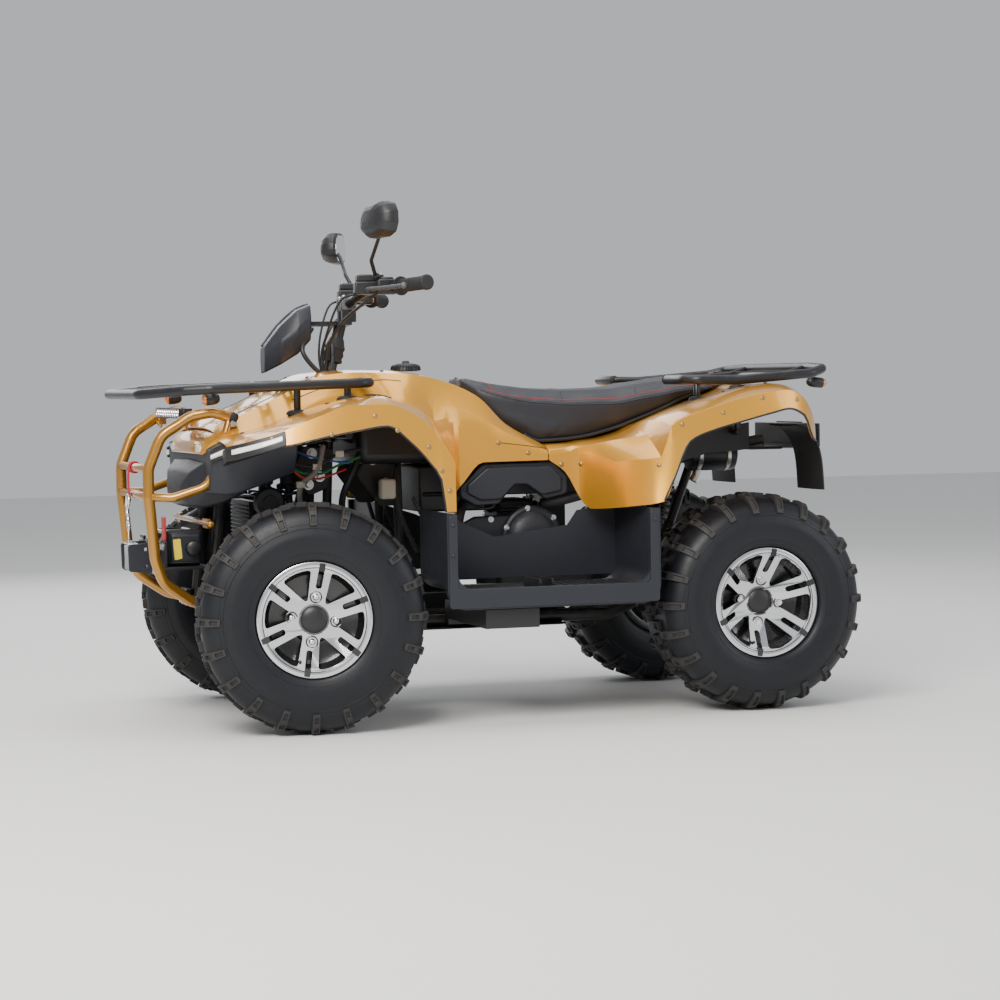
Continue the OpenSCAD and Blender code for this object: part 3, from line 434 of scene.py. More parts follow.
def rounded(points, r, n=4):
    return [(p.x, p.y) for p in fillet([V(x, z, 0) for x, z in points], r, n, closed=True)]


def rect(x0, z0, x1, z1, r=0):
    corners = [(x0, z0), (x1, z0), (x1, z1), (x0, z1)]
    return rounded(corners, r) if r else corners


def dome_bolt(at, axis, r, h):
    profile = [(r, -1.5)] + [(r * math.cos(a), h * math.sin(a)) for a in (0, 0.4, 0.8, 1.2, 1.5)] + [(0.3, h)]
    return aimed(lathe(profile, 14, "z"), at, axis)


def hex_bolt(at, axis, r, h):
    washer = lathe([(r * 1.5, -1), (r * 1.5, 1.4), (r * 0.5, 1.5)], 20, "z")
    head = lathe([(r, 1), (r, h), (r * 0.82, h + 1), (0.2, h + 1)], 6, "z")
    return aimed(merge(washer, head), at, axis)


def bolts(name, spots, mat, body=ROOT, r=6, h=3.4, hexed=False, go=same):
    """Bolts at (point, axis) pairs, in one piece."""
    made = [hex_bolt(p, n, r, h * 1.6) if hexed else dome_bolt(p, n, r, h) for p, n in spots]
    add(name, made, mat, body, go=go, smooth=35)


# ---- floor, light and camera ----
floor = bpy.data.objects.new("floor", bpy.data.meshes.new("floor"))
floor.data.from_pydata([(x, y, 0) for x, y in rect(-14, -14, 14, 14)], [], [(0, 1, 2, 3)])
STUDIO = material("studio_floor", (0.78, 0.77, 0.75), rough=0.75, vary=0.02, vary_size=0.8)
floor.data.materials.append(STUDIO)
bpy.context.scene.collection.objects.link(floor)
world = bpy.data.worlds.new("studio")
world.use_nodes = True
world.node_tree.nodes["Background"].inputs["Color"].default_value = (0.86, 0.89, 0.93, 1)
world.node_tree.nodes["Background"].inputs["Strength"].default_value = 0.62
bpy.context.scene.world = world


def lamp(name, at, size, power, color=(1, 1, 1)):
    """An area lamp that points at the middle of the bike."""
    d = bpy.data.lights.new(name, "AREA")
    d.shape = "RECTANGLE"
    d.size, d.size_y = size
    d.energy = power
    d.color = color
    o = bpy.data.objects.new(name, d)
    o.location = at
    o.rotation_euler = (V(0, 0, 0.5) - Vector(at)).to_track_quat("-Z", "Y").to_euler()
    bpy.context.scene.collection.objects.link(o)


lamp("key", (2.6, 3.6, 3.8), (2.6, 2.6), 380, (1.0, 0.97, 0.92))
lamp("fill", (-4.2, 3.0, 2.2), (3.0, 2.5), 70, (0.93, 0.96, 1.0))
lamp("top", (0.0, -0.5, 4.6), (4.0, 3.0), 110)
lamp("back", (0.5, -4.5, 2.6), (4.0, 2.5), 90, (0.95, 0.97, 1.0))


def camera(at, yaw, pitch, roll, lens):
    """A camera that looks along -Y at yaw 0; the angles are in radians."""
    ahead = V(-math.sin(yaw) * math.cos(pitch), -math.cos(yaw) * math.cos(pitch), math.sin(pitch))
    right = ahead.cross(V(0, 0, 1)).normalized()
    up = right.cross(ahead)
    c, s = math.cos(roll), math.sin(roll)
    turn = Matrix((c * right + s * up, c * up - s * right, -ahead)).transposed().to_4x4()
    o = bpy.data.objects.new("camera", bpy.data.cameras.new("camera"))
    o.data.lens = lens
    o.data.sensor_width = 36
    o.matrix_world = Matrix.Translation(at) @ turn
    bpy.context.scene.collection.objects.link(o)
    bpy.context.scene.camera = o


camera((2.06485, 6.7383, 0.8594), math.radians(17.647), math.radians(-2.577), -0.0145, 95.4)


# ---- wheels ----
BEAD = 127  # radius of the tyre's inner edge
SHOULDER = 227  # radius at which the tread begins
# Shares of the sidewall's height and of half the width.
TYRE_SHAPE = [(0.14, 0.9), (0.3, 0.98), (0.5, 1), (0.68, 0.97), (0.82, 0.9), (0.93, 0.76), (1, 0.55)]
# Across a lug: the place as a share of its half width, and 0 for its foot, 1 for its top, 2 for its hollow.
LUG_SHAPE = [(-1, 0), (-0.93, 1), (-0.50, 1), (-0.43, 2), (0.43, 2), (0.50, 1), (0.93, 1), (1, 0)]


def tyre_section(d, w, rim_half):
    """From bead to crown: each point (radius, across), the way inward there, and the tread's depth."""
    pts = [(BEAD, rim_half - 7), (143, rim_half - 5)]
    pts += [(BEAD + (d / 2 - BEAD) * a, w / 2 * b) for a, b in TYRE_SHAPE] + [(d / 2, w * 0.14), (d / 2, 0)]
    half = [V(p.x, min(p.y, w / 2), 0) for p in smooth_line([(a, b, 0) for a, b in pts], 5)]
    out = []
    for i, p in enumerate(half):
        t = half[min(i + 1, len(half) - 1)] - half[max(i - 1, 0)]
        n = V(t.y, -t.x, 0).normalized()
        if n.x * (p.x - 200) + n.y * p.y > 0:
            n = -n
        share = (p.x - 205) / (d / 2 - 205)
        out.append((p, n, 11.0 * max(0.0, min(1.0, share)) ** 0.75))
    return out


def tread(section, d, lugs, squares):
    """Ladders of hollow squares over both shoulders, and blocks between them at the crown."""
    rest = [b for b in section if b[0].x > SHOULDER]
    total = [0.0]
    for a, b in zip(rest, rest[1:]):
        total.append(total[-1] + (b[0] - a[0]).length)

    def along(s):
        s = max(0.0, min(total[-1], s))
        i = next(i for i in range(1, len(rest)) if total[i] >= s or i == len(rest) - 1)
        k = (s - total[i - 1]) / max(total[i] - total[i - 1], 1e-6)
        (p, n, dep), (p2, n2, dep2) = rest[i - 1], rest[i]
        return p.lerp(p2, k), n.lerp(n2, k).normalized(), dep + (dep2 - dep) * k

    def block(s0, s1, angle, wide, side, holes):
        steps = [(0, 0), (0.02, 1)]
        for k in range(holes):
            a, b = 0.03 + k * 0.94 / holes, 0.03 + (k + 1) * 0.94 / holes
            g = (b - a) * 0.17
            steps += [(a + g, 1), (a + g * 1.25, 2), ((a + b) / 2, 2), (b - g * 1.25, 2), (b - g, 1)]
        steps += [(0.98, 1), (1, 0)]
        verts, faces = [], []
        for t, a in steps:
            s, over = s0 + (s1 - s0) * t, 1
            if s > total[-1]:
                s, over = 2 * total[-1] - s, -1
            p, n, dep = along(s)
            for u, b in LUG_SHAPE:
                state = min(a, b)
                q = p + n * (dep + 2.5, 0.4, min(5.0, dep * 0.7 + 0.6))[state]
                r = min(q.x, d / 2 - 0.3)
                th = angle + u * wide / d * (0.86 if state == 1 and abs(u) > 0.9 else 1.0)
                verts.append(V(r * math.cos(th), side * over * q.y, r * math.sin(th)))
        m = len(LUG_SHAPE)
        for i in range(len(steps) - 1):
            for j in range(m - 1):
                q = (i * m + j, i * m + j + 1, (i + 1) * m + j + 1, (i + 1) * m + j)
                faces.append(q if side > 0 else q[::-1])
        return verts, faces

    parts = []
    pitch = 2 * math.pi / lugs
    for k in range(lugs):
        for side, off in ((1, 0.0), (-1, 0.5)):
            a = (k + off) * pitch
            parts.append(block(0, total[-1] * 0.80, a, 24, side, squares))
            parts.append(block(total[-1] * 0.80, total[-1] * 1.04, a + 0.28 * pitch, 30, side, 1))
    return parts


def tyre(name, d, w, rim_half, lugs, squares, go, body, node):
    section = tyre_section(d, w, rim_half)
    half = [(min(p.x, d / 2) + n.x * dep, max(p.y + n.y * dep, 0)) for p, n, dep in section]
    half = [q for i, q in enumerate(half) if i < 2 or q != half[i - 1]]
    add(name, lathe(half + [(r, -y) for r, y in half[::-1][1:]], 120, closed=True), TYRE, body, node, go, 50)
    lines = []
    for s in (1, -1):
        for radius, thick in ((224, 0.9), (233, 0.5), (164, 0.7)):
            r, y = min(half, key=lambda h: abs(h[0] - radius))
            lines.append(sweep([(r * c, s * y, r * sn) for c, sn in around(96)], thick, 5, closed=True))
    add(name + "_lines", lines, TYRE, body, go=go)
    add(name + "_tread", tread(section, d, lugs, squares), LUG, body, go=go, smooth=28)


SPOKE_TURN = 99  # angle of the first spoke, in degrees


def rim(name, h, face, go, body, node, hexed=False):
    """A spoked rim: h is half its width, face is how far out its spokes lie."""
    style = {"body": body, "go": go, "smooth": 35}
    barrel = [(127, -h + 5), (141.5, -h + 3.5), (141.5, -h), (136, -h), (123, -h + 4), (121, -h + 16),
              (104, -h + 34), (104, face - 34), (121.5, face - 12), (122, h - 4), (128, h - 0.6),
              (128, h - 3.6), (127.6, h - 3.6), (127, h - 8), (110, h - 30), (110, -h + 34), (126, -h + 16)]
    add(name + "_barrel", lathe(barrel, 96, closed=True), RIM_BLACK, **style)
    lip = [(128, h - 3.4), (141.4, h - 3.4), (142, h - 2.4), (141.6, h - 0.8), (140.4, h), (131, h),
           (128.6, h - 0.7), (127.8, h - 1.8)]
    add(name, lathe(lip, 128, closed=True), ALLOY, node=node, **style)
    outlines, notches = [circle(0, 0, 126.4, 96)], []
    for k in range(6):
        a, mid, after = (math.radians(SPOKE_TURN + 60 * k + turn) for turn in (0, 30, 60))

        def at(r, off, t=a):
            return r * math.cos(t) - off * math.sin(t), r * math.sin(t) + off * math.cos(t)
        pocket = [at(40, 0, mid), at(119, 25.5)] + [at(122.5, 0, mid + b) for b in (-0.16, 0.0, 0.16)]
        pocket.append(at(119, -25.5, after))
        outlines.append(rounded(pocket[::-1], 9))
        outlines.append(rounded([at(*p) for p in rect(76, -7.5, 122, 7.5)], 7))
        notches.append(plate([rounded([at(*p) for p in rect(119, -7.6, 139.5, 7.6)], 3)], h - 1.0, h + 0.25))
    outlines.append(circle(0, 0, 27, 40))
    rise = h - 1.2 - face

    def dished(p):
        return V(p.x, p.y + rise * max(0.0, min(1.0, (math.hypot(p.x, p.z) - 68) / 58)), p.z)
    spokes = moved(plate(outlines, face - 9, face), dished)
    add(name + "_spokes", spokes, ALLOY, body, go=go, bevel=1.6, smooth=30)
    dish = [(121.8, 0), (121.8, 7), (98, 16), (60, 22), (30, 22), (30, 4), (54, 2), (60, 10), (96, 10),
            (112, 2), (116, 0)]
    add(name + "_dish", lathe([(r, face - 9 - y) for r, y in dish], 64, closed=True), RIM_BLACK, **style)
    add(name + "_notches", notches, RIM_BLACK, body, go=go, bevel=0.3, seg=1)
    cup = [(15.5, -14), (15.5, 2.2), (14, 3), (12, 2), (11.5, -9), (0.3, -9)]
    nut = [(9, -9), (9, 0), (8.2, 4), (5.5, 7.5), (2.5, 9), (0.3, 9.3)]
    if hexed:
        nut = [(9.5, -9), (9.5, 4), (8, 5.5), (5, 5.5), (5, 8), (0.3, 8)]
    studs = [(55 * c, face, 55 * s) for c, s in around(4, math.radians(96))]
    add(name + "_recesses", [lathe(cup, 28, centre=p) for p in studs], RIM_BLACK, **style)
    add(name + "_nuts", [lathe(nut, 6 if hexed else 20, centre=p) for p in studs], CHROME, **style)
    ring = [(38, face - 4), (38, face + 2), (36, face + 3), (33.5, face + 3), (33, face + 1)]
    add(name + "_cap_ring", lathe(ring, 48), CAST, **style)
    cap = [(33, -3), (33, 2.5), (31, 5), (20, 9), (10, 10.5), (0.3, 10.8)]
    add(name + "_cap", lathe(cap, 48, centre=(0, face, 0)), BLACK, body, go=go, smooth=50)
    c, s = math.cos(math.radians(-70)), math.sin(math.radians(-70))
    stem = sweep([(112 * c, h - 14, 112 * s), (108 * c, h - 2, 108 * s)], 4, 10)
    add(name + "_valve", stem, BLACK, body, go=go, smooth=50)


for side, word, _ in SIDES:
    front, rear, spin = front_hub(side), rear_hub(side), "wheel_front_" + word
    tyre("tyre_%s_front" % word, 570, 180, 80, 20, 3, front, spin, "tyre_front_" + word)
    rim("rim_%s_front" % word, 80, 58, front, spin, "rim_front_" + word)
    tyre("tyre_%s_rear" % word, 560, 250, 104, 22, 2, rear, "rear_axle", left_only(side, "tyres_rear"))
    rim("rim_%s_rear" % word, 104, 52, rear, "rear_axle", left_only(side, "rims_rear"), hexed=True)
    disc = lathe([(100, 0), (100, 4), (60, 4), (60, 0)], 72, closed=True)
    add("brake_disc_" + word, disc, STEEL, spin, go=front, smooth=30)
    hub = lathe([(34, 48), (34, 0), (26, -12), (26, -22), (14, -22)], 32)
    add("hub_" + word, hub, CAST, spin, go=front, smooth=35)
    hub = lathe([(34, 44), (34, -10), (24, -30), (24, -52), (19, -52)], 32)
    add("hub_rear_" + word, hub, CAST, "rear_axle", go=rear, smooth=35)


# ---- gold bodywork ----
# Stations as in the part's source: x, five (y, z) corners from the lip to the deck, and the middle's height.
FRONT = [
    [1385, [372, 703], [366, 709], [330, 716], [265, 722], [225, 742], 752],
    [1366, [412, 700], [404, 714], [350, 724], [262, 730], [215, 758], 764],
    [1266, [468, 706], [458, 744], [400, 752], [250, 754], [185, 800], 806],
    [1169, [488, 726], [478, 782], [410, 790], [245, 790], [175, 846], 852],
    [1090, [494, 740], [484, 806], [420, 816], [245, 812], [185, 880], 886],
    [1010, [495, 751], [486, 806], [425, 826], [245, 824], [200, 886], 893],
    [950, [495, 709], [488, 786], [430, 806], [262, 826], [205, 884], 893],
    [902, [494, 658], [488, 752], [420, 790], [270, 816], [205, 882], 892],
    [874, [492, 617], [487, 716], [400, 770], [270, 800], [205, 880], 890],
    [862, [490, 537], [486, 700], [390, 752], [268, 790], [203, 878], 889],
    [836, [488, 536], [484, 660], [360, 730], [256, 775], [202, 874], 886],
    [820, [440, 545], [430, 650], [330, 712], [248, 760], [201, 871], 884],
    [749, [232, 589], [228, 650], [225, 712], [222, 772], [196, 850], 866],
    [683, [223, 650], [223, 680], [222, 715], [216, 760], [190, 818], 826],
    [610, [222, 651], [222, 665], [221, 690], [214, 722], [186, 748], 752],
    [506, [222, 652], [222, 660], [221, 668], [218, 676], [188, 690], 690]]
REAR = [
    [503, [222, 652], [222, 660], [221, 668], [218, 676], [188, 690], 688],
    [460, [224, 620], [223, 650], [222, 670], [214, 682], [188, 692], 688],
    [424, [228, 555], [228, 640], [226, 684], [210, 690], [186, 694], 690],
    [405, [262, 524], [255, 640], [245, 688], [214, 696], [186, 698], 692],
    [350, [420, 535], [372, 650], [290, 702], [222, 706], [184, 704], 698],
    [284, [484, 549], [462, 660], [360, 716], [236, 730], [182, 722], 712],
    [259, [486, 602], [472, 740], [380, 752], [240, 748], [182, 736], 724],
    [214, [487, 698], [476, 764], [390, 776], [242, 766], [184, 752], 740],
    [157, [488, 723], [476, 782], [392, 796], [244, 786], [186, 776], 764],
    [70, [488, 746], [476, 806], [390, 822], [246, 812], [186, 806], 796],
    [-13, [486, 766], [472, 822], [382, 838], [246, 832], [186, 830], 828],
    [-64, [480, 776], [466, 826], [376, 842], [246, 840], [186, 838], 838],
    [-112, [466, 758], [452, 808], [366, 834], [246, 838], [186, 838], 838],
    [-146, [440, 700], [432, 770], [352, 816], [240, 822], [186, 824], 824],
    [-172, [400, 690], [396, 730], [340, 770], [236, 780], [186, 782], 782]]
CROWN = (0, 5, 6, 5, 7)  # how far the middle of each facet lifts
FACET_STEPS = 4


def columns(stations, at, count):
    """The first corners' (y, z) at new places along the stations, as one list for each corner."""
    xs = [s[0] for s in stations]

    def values(corner, k):
        return monotone(xs, [s[corner][k] for s in stations], at)
    return [list(zip(values(c, 0), values(c, 1))) for c in range(1, count + 1)]


def rows_of(stations, n):
    """Places along the body, up to n between stations, and its corners and middle there."""
    st = sorted(stations)
    xs = [s[0] for s in st]
    at = []
    for a, b in zip(xs, xs[1:]):
        k = max(1, min(n, round((b - a) / 12)))
        at += [a + (b - a) * j / k for j in range(k)]
    at.append(xs[-1])
    return at, columns(st, at, 5) + [[(0, z) for z in monotone(xs, [s[6] for s in st], at)]]


def body_shell(name, stations, node):
    """A moulded shell, 4.5 mm thick, through the stations and their mirror images."""
    at, cols = rows_of(stations, 5)
    rings = []
    for i, x in enumerate(at):
        half = []
        for c in range(5):
            a, b = V(x, *cols[c][i]), V(x, *cols[c + 1][i])
            e = b - a
            n = V(0, e.z, -e.y).normalized() if e.length > 1e-6 else V(0, 0, 1)
            if n.z < 0 or (abs(n.z) < 0.2 and n.y < 0):
                n = -n
            for k in range(FACET_STEPS):
                t = k / FACET_STEPS
                half.append(a.lerp(b, t) + n * min(CROWN[c], e.length * 0.03) * 2 * t * (1 - t))
        half.append(V(x, *cols[5][i]))
        rings.append(half + [flip(p) for p in half[:-1][::-1]])
    n = len(rings[0])
    verts = [p for r in rings for p in r]
    faces = [(i * n + j, i * n + j + 1, (i + 1) * n + j + 1, (i + 1) * n + j)
             for i in range(len(rings) - 1) for j in range(n - 1)]
    o = add(name, (verts, faces), GOLD, node=node, smooth=0)
    if max(o.data.polygons, key=lambda p: p.center.z).normal.z < 0:
        o.data.flip_normals()
    wall = o.modifiers.new("thick", "SOLIDIFY")
    wall.thickness, wall.offset = 0.0045, -1
    edge = o.modifiers.new("round", "BEVEL")
    edge.width, edge.segments = 0.004, 3
    edge.limit_method, edge.angle_limit = "ANGLE", math.radians(16)
    o.data.shade_smooth()
    o.modifiers.new("weights", "WEIGHTED_NORMAL").keep_sharp = False
    return o


def tree_of(mesh):
    bm = bmesh.new()
    bm.from_mesh(mesh)
    tree = BVHTree.FromBMesh(bm)
    bm.free()
    return tree


def cast(trees, start, toward, lift=0.0):
    """The point and outward normal where a ray from start meets the nearest tree, or None."""
    d = Vector(toward).normalized()
    hits = [hit for hit in (t.ray_cast(P(start), d) for t in trees) if hit[0] is not None]
    if not hits:
        return None
    at, n = min(hits, key=lambda hit: hit[3])[:2]
    n = n if n.dot(d) < 0 else -n
    return at * 1000 + V(MID, 0, 0) + n * lift, n


shells = [tree_of(body_shell("front_shell", FRONT, "front_body").data),
          tree_of(body_shell("rear_shell", REAR, "rear_fender").data)]


def deck(x, y, lift=0.0):
    """Where the bodywork's top is over x, y."""
    return cast(shells, (x, y, 1100), DOWN, lift)


# Where screws show: (x, z) on the sides, (x, y) on the deck.
SIDE_SCREWS = ((1290, 728), (1150, 735), (1040, 778), (985, 742), (905, 700), (872, 640), (852, 590),
               (640, 700), (560, 672), (470, 640), (420, 640), (290, 640), (232, 742), (120, 770),
               (10, 806), (-90, 800))
DECK_SCREWS = ((1330, 300), (1120, 330), (960, 330), (930, 150), (1120, 120), (160, 330), (60, 330),
               (-60, 330))
spots = [cast(shells, (x, s * 700, z), (0, -s, 0)) for x, z in SIDE_SCREWS for s in (1, -1)]
bolts("panel_screws", [p for p in spots if p], BRONZE, r=6.5, h=3.2)
spots = [deck(x, s * y) for x, y in DECK_SCREWS for s in (1, -1)]
bolts("deck_screws", [p for p in spots if p], BLACK, r=6, h=2.8)


def line_on(name, pts, r, toward=DOWN, steps=10):
    """A seam: a line laid on the bodywork from above, or from the side."""
    dense = [Vector(a).lerp(Vector(b), k / steps) for a, b in zip(pts, pts[1:]) for k in range(steps)]
    laid = []
    for p in dense + [Vector(pts[-1])]:
        start = (p.x, p.y, 1200) if toward[2] else (p.x, math.copysign(700, p.y), p.z)
        hit = cast(shells, start, toward, 0.1)
        if hit:
            laid.append(hit[0])
    add(name, sweep(laid, r, 8, dome=0.2), BLACK, smooth=50)


POST_Y, FRONT_POSTS, REAR_POSTS = 262, (1050, 1180), (-10, 105)  # where the racks' posts stand
FRONT_CUP = [(11, 6), (13, 7), (22, 5), (27, 1), (29, -5)]
REAR_CUP = [(11, 6), (13, 7), (20, 5), (24, -4)]
for s, w, _ in SIDES:
    line_on("deck_seam_" + w, [(1180, s * 205, 0), (1010, s * 222, 0), (900, s * 226, 0)], 1.2)
    seam = [(640, s * 300, 700), (560, s * 300, 690), (508, s * 300, 682)]
    line_on("fender_seam_" + w, seam, 1.0, (0, -s, 0))
    line_on("nose_seam_" + w, [(1100, s * 150, 0), (1250, s * 130, 0), (1340, s * 150, 0)], 1.2)
    line_on("rear_deck_seam_" + w, [(230, s * 200, 0), (60, s * 214, 0), (-120, s * 214, 0)], 1.2)
    ends = [(deck(968 + 13 * k, s * 318, 0.6), deck(976 + 13 * k, s * 398, 0.6)) for k in range(5)]
    add("vent_slots_" + w, [sweep([a[0], b[0]], 3.4, 8, dome=0.5) for a, b in ends if a and b], BLACK)
    cups = [lathe(cup, 28, "z", (x, s * POST_Y, deck(x, s * POST_Y)[0].z))
            for posts, cup in ((FRONT_POSTS, FRONT_CUP), (REAR_POSTS, REAR_CUP)) for x in posts]
    add("post_collars_" + w, cups, RUBBER, smooth=50)
    for end, stations in (("front", FRONT[:11]), ("rear", REAR[5:])):
        at, cols = rows_of(stations, 4)
        lip = [(x, s * (y - 2.5), z + 1.5) for x, (y, z) in zip(at, cols[0])]
        add("arch_trim_%s_%s" % (end, w), sweep(lip, 3.0, 8, dome=0.4), BLACK, smooth=50)


# ---- nose and headlights ----
# Stations: x, and (y, z) of the top edge, the lamp's upper and lower edges and the bottom edge.
NOSE = [[1200, [345, 768], [345, 700], [338, 676], [310, 640]],
        [1290, [342, 736], [341, 722], [337, 700], [300, 606]],
        [1365, [322, 721.2], [315, 708], [311, 688], [274, 585]],
        [1405, [290, 700], [286, 690], [282, 672], [256, 590]]]
nose_x = [1200 + (1405 - 1200) * k / 14 for k in range(15)]
nose_rows = list(zip(nose_x, *columns(NOSE, nose_x, 4)))
rings = []
for x, (top_y, top_z), upper, lower, (low_y, low_z) in nose_rows:
    pts = [V(x, top_y * f, top_z) for f in (0.0, 0.4, 0.75, 1.0)] + [V(x, *upper), V(x, *lower)]
    pts += [V(x, low_y * f, low_z) for f in (1.0, 0.7, 0.35, 0.0)]
    rings.append(pts + [flip(p) for p in pts[1:-1][::-1]])
add("nose_shell", loft(rings), CHARCOAL, node="nose_panel", bevel=5, seg=3, smooth=30)
outward = V(0.35, 0.94, 0).normalized()
rings = []
for x, top, upper, lower, low in nose_rows:
    if x >= 1288:
        mid, half = (V(x, *upper) + V(x, *lower)) / 2, (upper[1] - lower[1]) / 2 - 2.5
        rings.append([mid + outward * (2 + 12 * max(c, -0.1)) + V(0, 0, half * s) for c, s in around(12)])
for s, w, go in SIDES:
    add("headlight_lens_" + w, loft(rings), LENS, node=left_only(s, "headlights"), go=go, smooth=60)
    for edge, column, dz in (("upper", 2, 1.5), ("lower", 3, -1.5)):
        line = [V(row[0], *row[column]) + outward * 5 + V(0, 0, dz) for row in nose_rows if row[0] > 1270]
        add("headlight_frame_%s_%s" % (edge, w), sweep(line, 4.2, 10, dome=0.6), BLACK, go=go, smooth=50)
    ribs = [[(1330 + 15 * k, 262 - 6 * k, 604 + 11 * k), (1372 + 8 * k, 250 - 7 * k, 600 + 11 * k)]
            for k in range(4)]
    add("nose_ribs_" + w, [sweep(line, 3, 8, dome=0.5) for line in ribs], BLACK, go=go)


# ---- seat ----
# Stations: x, half width, and the heights of the underside, the edge and the middle.
SEAT = [[-36, 130, 842, 850, 860], [20, 162, 828, 842, 866], [100, 168, 800, 838, 862],
        [157, 167, 773.7, 828, 854], [214, 166, 752, 819, 847], [300, 162, 722, 806, 836],
        [400, 158, 700, 806, 834], [500, 152, 694, 812, 838], [565, 145, 727, 822, 846],
        [610, 134, 753, 834, 853], [660, 110, 808, 852, 866], [690, 62, 846, 872, 880]]


def seat_at(x):
    """Half width, underside, edge and top of the seat at x."""
    return [monotone([s[0] for s in SEAT], [s[c] for s in SEAT], [x])[0] for c in range(1, 5)]


def seat_rings(shrink):
    """The seat's outline at each station, drawn in by shrink so that it can swell."""
    rings = []
    for k in range(49):
        x = SEAT[0][0] + (SEAT[-1][0] - SEAT[0][0]) * k / 48
        half, bottom, edge, top = seat_at(x)
        half, bottom, edge, top = half - shrink, bottom + shrink * 0.3, edge - shrink, top - shrink
        pts = [(0.86, bottom), (0.95, bottom + (edge - bottom) * 0.35), (0.99, edge - 14),
               (0.975, edge - 4), (0.92, edge + 1), (0.80, edge + (top - edge) * 0.45), (0.6, top - 4),
               (0.3, top - 1), (0.0, top)]
        left = [V(x, half * a, z) for a, z in pts]
        rings.append(left + [flip(p) for p in left[:-1][::-1]])
    return rings


def puff(o, mat, voxel=0.006, cap=0.005, pressure=4.0, frames=20):
    """Swells a cushion by cloth pressure, each point by at most cap, and smooths it."""
    remesh = o.modifiers.new("remesh", "REMESH")
    remesh.mode, remesh.voxel_size = "VOXEL", voxel
    me = bpy.data.meshes.new_from_object(o.evaluated_get(bpy.context.evaluated_depsgraph_get()))
    o.modifiers.clear()
    o.data = me
    start = [v.co.copy() for v in me.vertices]
    cloth = o.modifiers.new("cloth", "CLOTH")
    c = cloth.settings
    c.quality, c.mass = 5, 0.3
    c.tension_stiffness = c.compression_stiffness = 20
    c.shear_stiffness, c.bending_stiffness = 10, 1.0
    c.use_pressure, c.uniform_pressure_force = True, pressure
    c.effector_weights.gravity = 0
    cloth.collision_settings.use_collision = False
    cloth.point_cache.frame_start, cloth.point_cache.frame_end = 1, frames
    for k in range(1, frames + 1):
        bpy.context.scene.frame_set(k)
    swollen = o.evaluated_get(bpy.context.evaluated_depsgraph_get())
    for v, s, e in zip(me.vertices, start, swollen.to_mesh().vertices):
        d = e.co - s
        v.co = s + (d.normalized() * cap if d.length > cap else d)
    swollen.to_mesh_clear()
    o.modifiers.clear()
    bpy.context.scene.frame_set(1)
    even = o.modifiers.new("smooth", "SMOOTH")
    even.factor, even.iterations = 0.5, 4
    sub = o.modifiers.new("sub", "SUBSURF")
    sub.levels = sub.render_levels = 1
    me.shade_smooth()
    me.materials.clear()
    me.materials.append(mat)


seat = add("seat_cushion", loft(seat_rings(3.0)), VINYL, node="seat", smooth=0)
puff(seat, VINYL)
seat_tree = [tree_of(seat.evaluated_get(bpy.context.evaluated_depsgraph_get()).to_mesh())]


def on_seat(rays, lift):
    """The points where rays, as (start, toward), meet the seat."""
    hits = [cast(seat_tree, start, toward, lift) for start, toward in rays]
    return [hit[0] for hit in hits if hit]


welts, stitches = [], []
for s in (1, -1):
    xs = [-20 + 670 * k / 149 for k in range(150)]
    pts = on_seat([((x, s * 400, seat_at(x)[2] - 12), (0, -s, 0)) for x in xs], 0.2)
    welts.append(sweep(pts, 1.5, 6, dome=0.3))
    xs = [-20 + 660 * k / 259 for k in range(260)]
    pts = on_seat([((x, s * seat_at(x)[0] * 0.86, 1000), DOWN) for x in xs], 0.3)
    stitches += [[a, (a + b) / 2 + V(0, 0, 0.5), b] for a, b in list(zip(pts, pts[1:]))[::2]]
across = [-100 + 200 * k / 59 for k in range(60)]
pts = on_seat([((628 - 0.0016 * y * y, y, 1100), DOWN) for y in across], 0.3)
stitches += list(zip(pts, pts[1:]))[::2]
add("seat_welt", welts, VINYL)
add("seat_stitching", [sweep(line, 0.9, 5, dome=0.5) for line in stitches], THREAD)
across = [-140 + 280 * k / 39 for k in range(40)]
seams = [on_seat([((x + 0.0008 * y ** 2, y, 1100), DOWN) for y in across], 0.1) for x in (214, 420)]
add("seat_panel_seams", [sweep(line, 1.3, 6, dome=0.3) for line in seams], VINYL)
xs = [20 + 520 * k / 59 for k in range(60)]
skirts = [[(x, s * (seat_at(x)[0] * 0.87 + 1.5), seat_at(x)[1] + 7) for x in xs] for s in (1, -1)]
add("seat_base_trim", [sweep(line, 5, 8, dome=0.4) for line in skirts], BLACK)


# ---- racks ----
def mirrored(half):
    return [V(*p) for p in half] + [flip(p) for p in half[::-1]]


def slat(x, z, half=350, wide=13, t=2, slots=9):
    """A flat bar across a rack, with slots along it."""
    step = 2 * half / slots
    cuts = [rect(a, -5, a + step - 22, 5, 4.5) for a in (-half + 11 + step * k for k in range(slots))]
    return moved(plate([rect(-half, -wide, half, wide)] + cuts, -t, t), lambda p: V(x + p.z, p.x, z + p.y))


